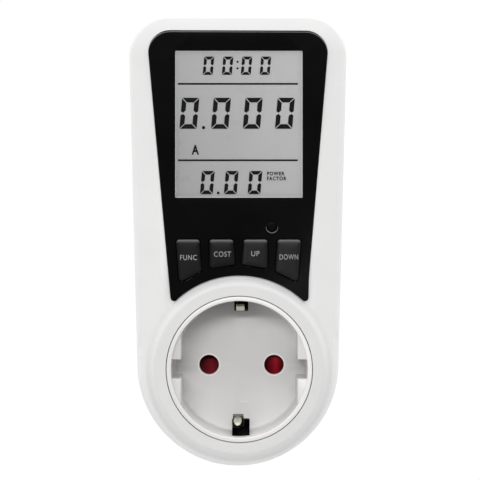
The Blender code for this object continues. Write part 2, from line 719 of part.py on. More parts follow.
def key_cap(name, corners):
    """A key with its retaining flange and a chamfered top, its origin on its press axis."""
    cx, cy = centre_of(corners)
    local = [(x - cx, y - cy) for x, y in corners]
    low, high = KEY_FLANGE_H

    def ring(grow, height):
        return level(rounded(offset_polygon(local, grow), KEY_CORNER + grow), height - low)

    rings = [
        ring(KEY_FLANGE, low), ring(KEY_FLANGE, high), ring(0, high),
        ring(0, H_KEY - KEY_CHAMFER), ring(-0.25, H_KEY - 0.2), ring(-KEY_CHAMFER, H_KEY),
    ]
    return loft(name, rings, KEY_GREY, at=(cx, cy, low))


def reset_key():
    low, high = KEY_FLANGE_H
    profile = [(0, 0), (2.4, 0), (2.4, high - low), (RESET_R, high - low),
               (RESET_R, H_RESET - low - 0.3), (RESET_R - 0.3, H_RESET - low), (0, H_RESET - low)]
    return turned("key_reset", profile, 18, BLACK, at=(*RESET_AT, low))


def tact_switch(key, at):
    """A switch body on the board with the plunger that moves with its key."""
    x, y = at
    half = SWITCH_SIDE / 2
    low, high = SWITCH_H
    corners = rounded(rectangle(-half, half, -half, half), 0.5, 1)
    body = plate(f"switch_{key}", corners, 0, high - low, CHIP_BLACK, at=(x, y, low))
    cut(body, plate(f"switch_{key}_bore", circle(PLUNGER_R + GAP, 12, at), low + 0.25, high + 1, None))
    first, last = PLUNGER_H
    profile = [(0, 0), (PLUNGER_R, 0), (PLUNGER_R, last - first), (0, last - first)]
    turned(f"plunger_{key}", profile, 12, FRAME_WHITE, at=(x, y, first))


# ---------------------------------------------------------------- boards and components

def display_board():
    low, high = BOARD_H
    foot = arc((0, 0), 24.6, math.acos(-0.81), math.acos(0.81), 10)
    outline = [(BOARD_X, 22.0), (BOARD_X, 97.0), (-BOARD_X, 97.0), (-BOARD_X, 22.0)] + foot
    board = plate("display_board", outline, low, high, BOARD_GREEN)
    holes = [circle(1.1, 10, at) for at in BOARD_SCREWS]
    cut(board, plates("display_board_holes", holes, low - 1, high + 1))


def power_board():
    low, high = POWER_BOARD_H
    outline = rounded(rectangle(-POWER_BOARD_X, POWER_BOARD_X, *POWER_BOARD_Y), 3.0)
    board = plate("power_board", outline, low, high, BOARD_GREEN)
    holes = [circle(1.1, 10, at) for at in POWER_SCREWS]
    cut(board, plates("power_board_holes", holes, low - 1, high + 1))


def components():
    top = POWER_BOARD_H[1] + GAP
    under = BOARD_H[0] - GAP
    film = rounded(rectangle(-23.0, -5.5, 55.5, 63.5), 1.0, 2)
    plate("film_capacitor", film, top, top + 13.0, FILM_YELLOW)
    can = [(0, 0), (3.7, 0), (4.0, 0.4), (4.0, 1.2), (3.6, 1.6), (4.0, 2.0), (4.0, 11.6),
           (3.6, 12.0), (0, 12.0)]
    turned("storage_capacitor", can, 18, CAN_BLUE, at=(4.0, 71.5, top))
    angles = [2 * math.pi * i / 18 for i in range(18)]
    rings = []
    for y, radius in ((-2.0, 4.4), (-1.3, 5.0), (1.3, 5.0), (2.0, 4.4)):
        rings.append([(radius * math.cos(a), y, radius * math.sin(a)) for a in angles])
    loft("varistor", rings, DISC_BLUE, at=(16.5, 48.0, top + 5.2))
    ends = [(-5.0, 1.3), (-4.4, 1.8), (-3.0, 1.8), (-2.6, 1.5)]
    profile = ends + [(-x, r) for x, r in ends[::-1]]
    barrel("fuse_resistor", profile, 12, FRAME_WHITE, (-15.5, 47.0, top + 2.0))
    plate("metering_chip", rectangle(10.5, 18.0, 58.5, 68.8), top, top + 2.3, CHIP_BLACK)
    plate("bridge_rectifier", rectangle(-4.5, 3.5, 49.5, 55.5), top, top + 3.0, CHIP_BLACK)
    blob = [(0, -1.6), (2.5, -1.5), (4.6, -1.0), (5.8, 0), (0, 0)]
    turned("microcontroller", blob, 22, CHIP_BLACK, at=(-2.0, 62.0, under))
    profile = [(-3.0, 0.8), (-2.8, 1.0), (2.7, 1.0), (3.0, 0.8)]
    barrel("clock_crystal", profile, 12, STEEL, (11.0, 58.0, under - 1.1))
    cells = [(-8.1, 5.3)]
    for start in (-8.1, -2.7, 2.7):
        cells += [(start + 0.4, 5.8), (start + 5.0, 5.8), (start + 5.4, 5.3)]
    barrel("backup_battery", cells, 16, CELL_GREEN, (0, 84.0, under - 6.0))
    ribbon = [(46.0, under), (46.0, 40.0), (44.6, 36.6), (41.6, 32.0), (39.6, 28.0), (39.0, 25.6),
              (39.0, top)]
    strip("board_cable", ribbon, 0.8, "y", (-5.0, 5.0), ZEBRA_GREY)


def wire(name, route, paint):
    """An insulated wire along a smooth curve through its route."""
    curve = bpy.data.curves.new(name, "CURVE")
    curve.dimensions = "3D"
    curve.bevel_depth = 0.75 * MM
    curve.bevel_resolution = 1
    curve.use_fill_caps = True
    smooth = []
    for i in range(len(route) - 1):
        p0, p1, p2, p3 = (route[min(max(k, 0), len(route) - 1)] for k in (i - 1, i, i + 1, i + 2))
        for step in range(4):
            t = step / 4
            smooth.append([
                0.5 * (2 * b + (c - a) * t + (2 * a - 5 * b + 4 * c - d) * t ** 2
                       + (3 * b - a - 3 * c + d) * t ** 3)
                for a, b, c, d in zip(p0, p1, p2, p3)
            ])
    smooth.append(list(route[-1]))
    line = curve.splines.new("POLY")
    line.points.add(len(smooth) - 1)
    for point, (x, y, h) in zip(line.points, smooth):
        point.co = (x * MM, y * MM, h * MM, 1)
    made = bpy.data.objects.new(name, curve)
    bpy.context.scene.collection.objects.link(made)
    curve.materials.append(paint)
    made.parent = METER


def wires():
    for name, side, paint in (("line_wire", 1, WIRE_BROWN), ("neutral_wire", -1, WIRE_BLUE)):
        route = [(10.5, 3.8, 17.6), (11.0, 7.0, 19.0), (11.6, 11.5, 20.2), (12.2, 18.0, 20.2),
                 (12.8, 25.0, 20.2), (13.4, 30.0, 20.9), (13.6, 32.2, 22.2)]
        wire(name, [(side * x, y, h) for x, y, h in route], paint)


# ---------------------------------------------------------------- fasteners

def screw(name, at, head_h, length, head_r, shank_r, up):
    """A pan-head screw. Its head's seat is at head_h, and up is 1 if the shank rises."""
    head = 1.6 if head_r > 2.4 else 1.3
    profile = [(0, 0), (shank_r * 0.5, 0), (shank_r, 0.8), (shank_r, length), (head_r, length),
               (head_r, length + head * 0.6), (head_r * 0.8, length + head), (0, length + head)]
    profile = [(r, head_h + up * (length - h)) for r, h in profile]
    made = turned(name, [(r, h - head_h) for r, h in profile], 12, STEEL, at=(*at, head_h))
    outer = head_h - up * (head + 1.0)
    inner = head_h - up * head * 0.45
    low, high = sorted((outer, inner))
    arm, width = head_r * 0.62, head_r * 0.15
    x, y = at
    cross = [(arm, -width), (arm, width), (width, width), (width, arm), (-width, arm),
             (-width, width), (-arm, width), (-arm, -width), (-width, -width), (-width, -arm),
             (width, -arm), (width, -width)]
    cut(made, plate(f"{name}_recess", [(x + a, y + b) for a, b in cross], low, high, None))


def fasteners():
    for i, at in enumerate(HOUSING_SCREWS, 1):
        screw(f"housing_screw_{i}", at, WELL_H - GAP, 13.6, 2.6, 1.3, 1)
    for i, side in enumerate((-1, 1), 1):
        screw(f"carrier_screw_{i}", (0, side * BOSS_Y), CARRIER_H[0] + 2.0, 10.6, 2.2, 0.9, 1)
    for i, at in enumerate(BOARD_SCREWS, 1):
        screw(f"display_board_screw_{i}", at, BOARD_H[0] - GAP, 5.0, 1.9, 0.8, 1)
    for i, at in enumerate(POWER_SCREWS, 1):
        screw(f"power_board_screw_{i}", at, POWER_BOARD_H[1] + GAP, 4.2, 1.9, 0.8, -1)


# ---------------------------------------------------------------- assembly

front_housing()
rear_housing()
display_panel()
display_lens()
lcd_stack()
display_board()
power_board()
for key_name, key_corners in KEYS.items():
    key_cap(f"key_{key_name}", key_corners)
    tact_switch(key_name, centre_of(key_corners))
reset_key()
tact_switch("reset", RESET_AT)
socket_cup()
shutter()
shutter_spring()
contact_carrier()
live_contact("line_contact", 1)
live_contact("neutral_contact", -1)
earth_contact("earth_contact_upper", 1, EARTH_UPPER["strip"], UPPER_BOW)
earth_contact("earth_contact_lower", -1, EARTH_LOWER["strip"], LOWER_BOW)
earth_link()
plug_pin("line_pin", 1)
plug_pin("neutral_pin", -1)
pin_carrier()
shunt_resistor()
components()
wires()
fasteners()
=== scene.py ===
"""Looks for the plug-in power meter: detailed outer pieces and procedural materials.

Shapes are drawn as the part lies on its back: x to the right, y up the face, h the height above
the plug's end face, in millimetres. STAND then puts them in the row frame, in metres.
"""

import json
import math

import bmesh
import bpy
import numpy as np
from mathutils import Matrix, Vector
from mathutils.geometry import delaunay_2d_cdt


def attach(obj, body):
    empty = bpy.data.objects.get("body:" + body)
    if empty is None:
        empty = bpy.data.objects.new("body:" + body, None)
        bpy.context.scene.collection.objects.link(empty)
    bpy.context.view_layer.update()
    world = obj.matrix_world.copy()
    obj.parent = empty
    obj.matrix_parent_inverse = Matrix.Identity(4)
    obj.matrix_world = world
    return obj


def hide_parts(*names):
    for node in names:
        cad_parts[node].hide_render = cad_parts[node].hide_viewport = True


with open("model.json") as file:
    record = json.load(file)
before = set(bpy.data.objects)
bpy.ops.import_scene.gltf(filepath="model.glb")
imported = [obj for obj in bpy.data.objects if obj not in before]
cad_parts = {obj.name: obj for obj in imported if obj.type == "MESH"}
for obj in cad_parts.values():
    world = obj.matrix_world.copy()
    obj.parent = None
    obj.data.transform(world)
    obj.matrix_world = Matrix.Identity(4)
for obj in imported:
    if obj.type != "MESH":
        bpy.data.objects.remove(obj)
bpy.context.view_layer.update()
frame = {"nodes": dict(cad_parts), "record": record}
NODES = frame["nodes"]

MM = 0.001
STAND = Matrix.Rotation(math.pi / 2, 4, "X") @ Matrix.Scale(MM, 4)


def linked(name, data):
    """A new object in the scene."""
    made = bpy.data.objects.new(name, data)
    bpy.context.scene.collection.objects.link(made)
    return made


# ---------------- camera

CAMERA_AT = (0.2, 36.5, 511.0)
LENS = 121.3

camera_data = bpy.data.cameras.new("camera")
camera_data.lens = LENS
camera_data.sensor_width = 36.0
camera_data.clip_start = 0.01
camera_data.clip_end = 20.0
camera = linked("camera", camera_data)
camera.location = STAND @ Vector(CAMERA_AT)
camera.rotation_euler = (math.pi / 2, 0, 0)
bpy.context.scene.camera = camera


# ---------------- dimensions

# Heights above the plug's end face
H_BACK = 17.0
H_PARTING = 41.0
H_LEDGE = 51.1
H_LCD = 52.1      # seen through the lens, the image looks closer than the cell lies
H_FACE = 52.5
H_PANEL = 52.8
H_KEY = 53.9
H_RESET = 52.0
H_COLLAR = 55.0
RECESS = 17.5
FLOOR = H_COLLAR - RECESS
WALL = 2.0

BODY_R = 29.2
BODY_AT = (-0.42, 0.33)    # the body's outline sits this far off the socket's axis
CORNER_R = 12.0
CORNER = (19.55, 89.2)
DRAFT = 1.0
RIM_H = 49.25
SHOULDER_LOW = 50.35     # height of the sloping shoulder where it would meet the side
SHOULDER_RISE = 0.3
SHOULDER_EDGE = 1.1      # radius between the shoulder and the side
SHOULDER_X = 21.7        # where the panel's sunken surround ends, beside the panel's foot
SURROUND_DEPTH = 0.3
BACK_FILLET = 2.5
BACK_DRAFT = 0.8
SEAM_H = H_PARTING - 0.3    # top of the rear shell's wall
SCREW_WELLS = [(-23.3, 91.0), (23.3, 91.0), (-23.2, 27.0), (23.2, 27.0)]
POST_R = 4.6
WELL_R = 2.9
WELL_TOP = 33.0
SCREW_R = 1.6

CUP_R = 20.6
CUP_BORE = 19.3
CUP_FLAT_X = 16.5
CUP_NOTCH = 2.7
COLLAR_BASE_R = 26.2
COLLAR_TOP_R = 24.0
PLUG_R = 18.7
PLUG_FLAT_X = 16.2
PLUG_KEY = 2.4
PLUG_BORE = 15.6
PIN_X = 9.5
PIN_R = 2.4
PIN_TIP_H = -19.0
PIN_COLLAR_R = 3.8
PIN_ROOT = (2.0, 16.6)   # radius and top of the pin inside the plug
HOLE_R = 2.85
HOLE_SHIFT = 0.65    # the insert's holes sit this far to the right of the pins' middle
PLUG_SLOTS = [(-1.3, 1.9, 17.3, 19.7), (-2.25, 1.65, -19.7, -17.3)]    # x and y spans
SOCKET_SLOTS = [(-1.5, 2.6, 15.7, 21.2), (-2.1, 3.0, -21.2, -15.7)]
SHADE_CARDS = {"upper": (-2.2, 3.0, 15.8, 20.6), "lower": (-2.6, 3.6, -23.6, -15.8)}
SHADE_CARD_H = 19.05       # the dark cards are painted shade, which stops the view into the case through the earth slots
TIP_AT = (-0.47, -15.27, 47.87)   # the pressed dome at the end of the lower earth contact
TIP_SIZE = (1.15, 2.05, 0.42)
TIP_LEAN = 55.7
MOULD_MARK = (0.1, 2.2, -11.05, -10.65)

PANEL_TOP = 96.0
PANEL_CORNER = 6.2
PANEL_HALF = 25.25   # half the panel's width at PANEL_HALF_Y
PANEL_HALF_Y = 88.0
PANEL_SLOPE = 0.0840
PANEL_FOOT_R = 26.5
PANEL_FOOT_CORNER = 0.95
PANEL_X = -0.37      # how far the panel's sides sit to the right of the socket's axis
PANEL_LEAN = 0.0071  # how much more the panel's left side leans in than its right
PANEL_TILT = 0.0035  # how far the panel's top edge falls towards the right
WINDOW_X = (-18.2, 17.95)
WINDOW_Y = (48.5, 90.2)
LENS_GAP = 0.08
LCD_SPAN = (-19.8, 19.8, 46.85, 91.85)
RULE_X = (-17.4, 16.6)
FACE_PITCH = 1.7     # the display's and the lens's faces are cut into squares of this size

KEYS_X = -0.21       # how far the keys sit to the right of the socket's axis
KEY_TOP_Y = 36.6
KEY_FOOT_R = 29.6
KEY_CORNER = 0.9
KEY_EDGE = 0.75
KEY_TIP = 0.45       # how far a key's top slides towards the socket over its rounded edge
KEY_INNER_X = (1.5, 8.25)
KEY_OUTER_X = (11.05, 17.7)
KEY_LEAN = 0.08
KEY_FOOT_Y = (28.5, 25.0)    # about where the inner and outer corners of a key's foot lie
FLANGE = (47.6, 48.5)    # heights of the wide foot that holds a key behind the panel
RESET_AT = (9.27, 40.22)
RESET_R = 1.48
RESET_FLANGE_R = 2.4
LEGEND_CAP = 1.46


# ---------------- shader nodes

RIGHT, UP, OUT = (1, 0, 0), (0, 0, 1), (0, -1, 0)    # directions of the row frame
DOWN_RIGHT, UP_RIGHT = (1, 0, -1), (1, 0, 1)


def feed(tree, made, inputs):
    """Sets a node's inputs, by name or number, to constants or to other nodes' outputs."""
    for name, value in inputs.items():
        if isinstance(value, bpy.types.NodeSocket):
            tree.links.new(value, made.inputs[name])
        else:
            made.inputs[name].default_value = value
    return made


def node(tree, kind, inputs, operation=None):
    made = tree.nodes.new("ShaderNode" + kind)
    if operation:
        made.operation = operation
    return feed(tree, made, inputs)


def calc(tree, operation, first, second):
    """The output of one step of arithmetic."""
    return node(tree, "Math", {0: first, 1: second}, operation).outputs[0]


def product(tree, first, second):
    return calc(tree, "MULTIPLY", first, second)


def rescale(tree, value, low, high, to_low=0.0, to_high=1.0):
    """Maps low to high onto to_low to to_high, and runs past neither end."""
    made = node(tree, "MapRange", {"Value": value, "From Min": low, "From Max": high,
                                   "To Min": to_low, "To Max": to_high})
    return made.outputs["Result"]


def ramp(tree, at, stops):
    """The colour at a place along (place, colour) stops."""
    made = node(tree, "ValToRGB", {"Fac": at})
    while len(made.color_ramp.elements) < len(stops):
        made.color_ramp.elements.new(0.5)
    for element, (place, colour) in zip(made.color_ramp.elements, stops):
        element.position = place
        element.color = (*colour, 1)
    return made.outputs["Color"]


def mixed(tree, share, low, high):
    """A colour between two. A colour mix is fed by number, because its sockets share names."""
    made = tree.nodes.new("ShaderNodeMix")
    made.data_type = "RGBA"
    return feed(tree, made, {0: share, 6: low, 7: high}).outputs[2]


# ---------------- materials

def surface(name, colour, roughness, metallic=0.0, grain=2500.0, depth=4e-6, mottle=0.03,
            patch=90.0, wear=0.0, wear_colour=(1, 1, 1), alpha=1.0, coat=0.0, specular=0.5):
    """A moulded, rolled or plated finish: colour that varies softly, fine grain and worn edges."""
    made = bpy.data.materials.new(name)
    made.use_nodes = True
    tree = made.node_tree
    where = node(tree, "TexCoord", {}).outputs["Object"]
    broad = node(tree, "TexNoise", {"Scale": patch, "Detail": 4.0, "Vector": where})
    low = [max(0.0, c * (1 - mottle)) for c in colour]
    high = [min(1.0, c * (1 + mottle)) for c in colour]
    shade = ramp(tree, broad.outputs["Fac"], [(0.3, low), (0.7, high)])
    if wear:
        edge = node(tree, "NewGeometry", {}).outputs["Pointiness"]
        share = rescale(tree, edge, 0.52, 0.60, to_high=wear)
        shade = mixed(tree, share, shade, (*wear_colour, 1))
    fine = node(tree, "TexNoise", {"Scale": grain, "Detail": 3.0, "Vector": where})
    bump = node(tree, "Bump", {"Strength": 0.6, "Distance": depth, "Height": fine.outputs["Fac"]})
    sheen = rescale(tree, broad.outputs["Fac"], 0.3, 0.7, max(0.02, roughness * 0.88),
                    min(1.0, roughness * 1.15))
    feed(tree, tree.nodes["Principled BSDF"], {
        "Metallic": metallic, "Alpha": alpha, "Coat Weight": coat, "Coat Roughness": 0.08,
        "Specular IOR Level": specular, "Base Color": shade, "Normal": bump.outputs["Normal"],
        "Roughness": sheen})
    return made


WHITE_GRAIN = {"grain": 3200, "depth": 6e-6, "mottle": 0.012, "wear_colour": (0.86, 0.86, 0.86)}
INSERT_WHITE = ((0.76, 0.75, 0.74), 0.36)
INSERT_GRAIN = {"grain": 2600, "depth": 3e-6, "mottle": 0.012, "wear": 0.25,
                "wear_colour": (0.86, 0.86, 0.85)}
KEY_GRAIN = {"grain": 3600, "depth": 5e-6, "mottle": 0.08, "wear": 0.3,
             "wear_colour": (0.02, 0.02, 0.021)}
METAL = {"metallic": 1.0, "grain": 4200, "depth": 2e-6, "patch": 260}
NICKEL = ((0.71, 0.70, 0.58), 0.24)
WIRE = {"grain": 1600, "depth": 5e-6, "mottle": 0.08}

FINISH = {
    name: surface(name, colour, roughness, **rest)
    for name, colour, roughness, rest in (
        ("white_shell", (0.80, 0.80, 0.795), 0.42, dict(wear=0.25, **WHITE_GRAIN)),
        ("socket_white", *INSERT_WHITE, INSERT_GRAIN),
        ("panel_black", (0.0028, 0.0028, 0.0028), 0.05, dict(grain=900, depth=1e-6, mottle=0.15)),
        ("key_grey", (0.0070, 0.0070, 0.0074), 0.42, dict(specular=0.16, **KEY_GRAIN)),
        ("lens_clear", (0.02, 0.02, 0.02), 0.05,
         dict(grain=600, depth=5e-7, mottle=0.1, alpha=0.08)),
        ("lcd_grey", (0.525, 0.525, 0.525), 0.3, dict(grain=3200, depth=1e-6, mottle=0.02)),
        ("shutter_red", (0.24, 0.008, 0.016), 0.5,
         dict(grain=2600, depth=3e-6, mottle=0.08, wear=0.3, wear_colour=(0.3, 0.03, 0.04),
              specular=0.08)),
        ("nickel", *NICKEL, dict(mottle=0.06, wear=0.3, wear_colour=(0.82, 0.80, 0.74), **METAL)),
        ("brass", (0.72, 0.52, 0.22), 0.3, dict(mottle=0.1, **METAL)),
        ("screw_steel", (0.55, 0.55, 0.56), 0.3,
         dict(metallic=1.0, grain=5200, depth=3e-6, mottle=0.08, patch=500)),
        ("carrier_ivory", (0.62, 0.60, 0.52), 0.5, dict(grain=1800, depth=6e-6, mottle=0.05)),
        ("board_green", (0.02, 0.16, 0.06), 0.35,
         dict(grain=1400, depth=8e-6, mottle=0.18, patch=400, coat=0.3)),
        ("chip_black", (0.015, 0.015, 0.016), 0.55, dict(grain=5200, depth=5e-6, mottle=0.1)),
        ("frame_white", (0.75, 0.76, 0.77), 0.5, dict(grain=2400)),
        ("zebra_grey", (0.20, 0.20, 0.22), 0.7, dict(grain=3000, depth=6e-6, mottle=0.1)),
        ("film_yellow", (0.75, 0.50, 0.05), 0.4, dict(grain=1500, mottle=0.06)),
        ("can_blue", (0.03, 0.06, 0.22), 0.3,
         dict(grain=1800, depth=3e-6, mottle=0.1, coat=0.3)),
        ("disc_blue", (0.04, 0.12, 0.42), 0.35,
         dict(grain=1200, depth=1e-5, mottle=0.1, coat=0.4)),
        ("cell_green", (0.05, 0.30, 0.12), 0.35,
         dict(grain=1800, depth=3e-6, mottle=0.06, coat=0.3)),
        ("wire_brown", (0.16, 0.06, 0.03), 0.45, WIRE),
        ("wire_blue", (0.03, 0.10, 0.50), 0.45, WIRE),
    )
}
INK = surface("lcd_ink", (0.006, 0.006, 0.007), 0.6, grain=1500, depth=5e-7, mottle=0.12,
              specular=0.1)
# painted highlight: the pale line that stands for the lens's lit edge
EDGE_HIGHLIGHT = surface("lcd_edge_highlight", (0.90, 0.90, 0.90), 0.4, depth=1e-6)
# painted highlight: the pale rings round the holes stand for their lit edges; the mould mark is
# drawn in the same paler colour
HOLE_RIM = surface("hole_rim", (0.92, 0.91, 0.90), 0.35, grain=2600, depth=2e-6)
RESET_BLACK = surface("reset_black", (0.0030, 0.0030, 0.0032), 0.2, grain=2800, depth=2e-6,
                      mottle=0.1, specular=0.08)
GLINT = surface("reset_rim_glint", (0.32, 0.32, 0.32), 0.4, grain=2800, depth=1e-6)
LEGEND = surface("legend_grey", (0.34, 0.34, 0.345), 0.5, grain=5000, depth=2e-6, mottle=0.1)
# painted highlight: the dome's pale, partly metallic colour stands for its shine
CONTACT_TIP = surface("contact_tip", (0.86, 0.85, 0.74), 0.28, metallic=0.55, grain=4200,
                      depth=2e-6, mottle=0.04)
CONTACT_SHADED = surface("contact_shaded", *NICKEL, mottle=0.06, **METAL)


# ---------------- soft tones over the materials: painted light and shade

def place_on(made):
    """A point's own coordinates in metres, which at rest are those of the row frame."""
    return [n for n in made.node_tree.nodes if n.type == "TEX_COORD"][0].outputs["Object"]


def along(made, direction):
    """The dot product of a point's place with a direction."""
    dot = node(made.node_tree, "VectorMath", {0: place_on(made), 1: direction}, "DOT_PRODUCT")
    return dot.outputs["Value"]


def radius(made):
    """A point's distance from the socket's axis."""
    tree = made.node_tree
    flat = node(tree, "VectorMath", {0: place_on(made), 1: (1, 0, 1)}, "MULTIPLY")
    return node(tree, "VectorMath", {0: flat.outputs[0]}, "LENGTH").outputs["Value"]


def tones_over(made, place, tones):
    """A tone of 0 to 2 that follows a place through (millimetres, tone) stops."""
    tree = made.node_tree
    first, last = tones[0][0], tones[-1][0]
    share = rescale(tree, place, first * MM, last * MM)
    stops = [((at - first) / (last - first), [tone / 2] * 3) for at, tone in tones]
    return product(tree, ramp(tree, share, stops), 2.0)


def tint(made, tone):
    """Multiplies the material's colour by a tone."""
    tree = made.node_tree
    colour = tree.nodes["Principled BSDF"].inputs["Base Color"]
    scaled = node(tree, "VectorMath", {0: colour.links[0].from_socket, "Scale": tone}, "SCALE")
    tree.links.new(scaled.outputs[0], colour)


def tint_along(made, direction, tones):
    tint(made, tones_over(made, along(made, direction), tones))


def shell_finish():
    """The front shell: fine-textured body, with painted shade greying the collar round the socket.
    """
    made = surface("white_shell_front", (0.81, 0.81, 0.805), 0.42, wear=0.2, **WHITE_GRAIN)
    # painted shade: the collar greys by about a tenth out to 27 mm from the axis, most in the
    # valley at its foot and least along its crest
    tones = [(23.9, 0.905), (24.5, 0.925), (25.0, 0.90), (25.6, 0.87), (26.1, 0.87), (27.0, 1.0)]
    tint(made, tones_over(made, radius(made), tones))
    return made


def socket_finish():
    """The socket insert: a pale rim over a bore, both toned with painted light and shade."""
    made = surface("socket_white_insert", *INSERT_WHITE, **INSERT_GRAIN)
    tree = made.node_tree
    # painted shade darkening the bore towards its top, under the rim, and painted light towards its
    # foot
    low = tones_over(made, along(made, UP), [
        (-19.3, 1.10), (-10, 1.07), (-5, 1.02), (0, 0.97), (10, 0.97), (14, 0.86), (17, 0.68),
        (19.3, 0.56)])
    # painted shade at the bore's left and right sides
    flank = tones_over(made, along(made, RIGHT), [(-15, 0.91), (-8, 1), (8, 1), (15, 0.9)])
    # painted light towards the bore's upper right
    corner = tones_over(made, along(made, UP_RIGHT), [(19, 1.0), (24, 1.2), (27, 1.35)])
    bore = product(tree, product(tree, low, flank), corner)
    # on the rim: painted shade on its left, and a painted highlight over its top
    side = tones_over(made, along(made, RIGHT), [(-19.3, 0.9), (19.3, 1.01)])
    rim_highlight = tones_over(made, along(made, OUT), [(53.9, 1.0), (54.4, 1.14)])
    on_rim = tones_over(made, along(made, OUT), [(53.0, 0.0), (53.7, 1.0)])
    pick = node(tree, "Mix", {"Factor": on_rim, "A": bore,
                              "B": product(tree, side, rim_highlight)})
    tint(made, pick.outputs["Result"])
    return made


def key_finish(key, tone):
    """Satin dark grey, with a painted highlight paling the key's upper edge."""
    made = surface(f"key_grey_{key}", (0.0070 * tone, 0.0070 * tone, 0.0074 * tone), 0.42,
                   specular=0.16 * tone, **KEY_GRAIN)
    tree = made.node_tree
    colour = tree.nodes["Principled BSDF"].inputs["Base Color"]
    top = KEY_TOP_Y
    # painted highlight: a band along the key's top blends to a paler grey
    share = tones_over(made, along(made, UP), [
        (top - 1.1, 0.0), (top - 0.85, 0.1), (top - 0.6, 0.35), (top - 0.38, 0.75), (top, 1.0)])
    pale = mixed(tree, share, colour.links[0].from_socket, (0.15, 0.15, 0.153, 1))
    tree.links.new(pale, colour)
    return made


SHELL_FRONT = shell_finish()
SOCKET_INSERT = socket_finish()
# painted light and shade: lit and shaded copies of the key grey, the two left keys darker and the
# two right keys lighter
KEY_FINISH = {
    key: key_finish(key, tone)
    for key, tone in (("function", 0.76), ("cost", 0.76), ("up", 1.02), ("down", 1.18))
}
# painted light and shade on the display: darker on its left, lighter on its right, and a little
# lighter towards its foot
tint_along(FINISH["lcd_grey"], RIGHT, [(-18, 0.85), (18, 1.135)])
tint_along(FINISH["lcd_grey"], UP, [(48, 1.03), (90, 0.99)])
# painted shade: the carrier darkens beyond 14 mm from the axis, where its ends are seen through the
# socket's slots
tint(FINISH["carrier_ivory"], tones_over(FINISH["carrier_ivory"], radius(FINISH["carrier_ivory"]),
                                         [(13.6, 1.0), (14.8, 0.12)]))
# painted light and shade on the shutter's pads: dark at each hole's edges, lit towards the middle,
# brightest in the right hole
tint_along(FINISH["shutter_red"], RIGHT, [
    (-12.0, 0.15), (-10.2, 0.42), (-8.0, 0.9), (-6.3, 0.4), (7.6, 0.35), (9.2, 0.95),
    (10.8, 1.9), (12.0, 0.9), (12.9, 0.35)])
# painted shadow darkening the pads towards their top
tint_along(FINISH["shutter_red"], UP, [(1.5, 1.0), (2.3, 0.4)])
# painted reflection: the black panel grows paler towards its lower right
tint_along(FINISH["panel_black"], DOWN_RIGHT, [(-38, 1.0), (-20, 1.5), (-9, 2.0)])
tint_along(FINISH["panel_black"], DOWN_RIGHT, [(-22, 1.0), (-9, 1.9), (-5, 1.5)])
# painted shade darkening the contact's dome towards its top
tint_along(CONTACT_TIP, UP, [(-15.2, 0.95), (-14.7, 0.8), (-14.3, 0.3)])
tint_along(CONTACT_SHADED, UP, [(-14.9, 0.03), (-14.5, 0.22), (-14.0, 0.27)])


# ---------------- the CAD pieces that stay

for entry in frame["record"]["subparts"]:
    for held in NODES[entry["node"]].material_slots:
        held.material = FINISH[entry["material_slot"]]
NODES["earth_contact_lower"].data.materials[0] = CONTACT_SHADED


def soften(name, width):
    """Small rounds on a carried-over piece's sharp edges."""
    weld = NODES[name].modifiers.new("weld", "WELD")
    weld.merge_threshold = 1e-6
    bevel = NODES[name].modifiers.new("rounds", "BEVEL")
    bevel.width = width * MM
    bevel.segments = 2
    bevel.limit_method = "ANGLE"
    bevel.angle_limit = math.radians(38)


soften("earth_contact_upper", 0.3)
soften("earth_contact_lower", 0.3)
soften("shutter", 0.15)


# ---------------- mesh helpers

def arc(centre, radius, first, last, count):
    steps = [first + (last - first) * i / count for i in range(count + 1)]
    return [(centre[0] + radius * math.cos(a), centre[1] + radius * math.sin(a)) for a in steps]


def circle(radius, count, centre=(0.0, 0.0)):
    return arc(centre, radius, 0, 2 * math.pi, count)[:-1]


def rectangle(x0, x1, y0, y1):
    return [(x0, y0), (x1, y0), (x1, y1), (x0, y1)]


def between(a, b, count):
    """The points that cut the line from a to b into count lengths, without its ends."""
    return [(a[0] + (b[0] - a[0]) * i / count, a[1] + (b[1] - a[1]) * i / count)
            for i in range(1, count)]


def mirrored(points):
    return [(-x, y) for x, y in points[::-1]]


def level(outline, height):
    return [(x, y, height) for x, y in outline]


def corners_of(points):
    """Each corner of an anticlockwise polygon and the directions its two edges face."""
    before, after = points[-1:] + points[:-1], points[1:] + points[:1]
    for (ax, ay), (bx, by), (cx, cy) in zip(before, points, after):
        one = math.atan2(by - ay, bx - ax) - math.pi / 2
        two = math.atan2(cy - by, cx - bx) - math.pi / 2
        yield bx, by, one, two


def offset_polygon(points, distance):
    """Moves each edge of an anticlockwise polygon outwards."""
    moved = []
    for x, y, one, two in corners_of(points):
        middle = math.atan2(math.sin(one) + math.sin(two), math.cos(one) + math.cos(two))
        reach = distance / math.cos(middle - one)
        moved.append((x + reach * math.cos(middle), y + reach * math.sin(middle)))
    return moved


def rounded(points, radius, count=6):
    """Rounds the corners of an anticlockwise convex polygon."""
    made = []
    centres = offset_polygon(points, -radius)
    for centre, (_, _, one, two) in zip(centres, corners_of(points)):
        while two < one:
            two += 2 * math.pi
        made += arc(centre, radius, one, two, count)
    return made


def quarter(radius, count):
    """(inset, drop) pairs of a rounded edge, from the flat top to the upright side."""
    angles = [math.pi / 2 * i / count for i in range(count + 1)]
    return [(radius * (1 - math.sin(a)), radius * (1 - math.cos(a))) for a in angles]


def wall(bm, rings):
    """Side faces through rings of as many 3-D points each. A lone point closes a ring's end."""
    rows = [[bm.verts.new(p) for p in ring] for ring in rings]
    for low, high in zip(rows, rows[1:]):
        count = max(len(low), len(high))
        for i in range(count):
            j = (i + 1) % count
            face = (low[i % len(low)], low[j % len(low)], high[j % len(high)], high[i % len(high)])
            bm.faces.new(list(dict.fromkeys(face)))
    return rows


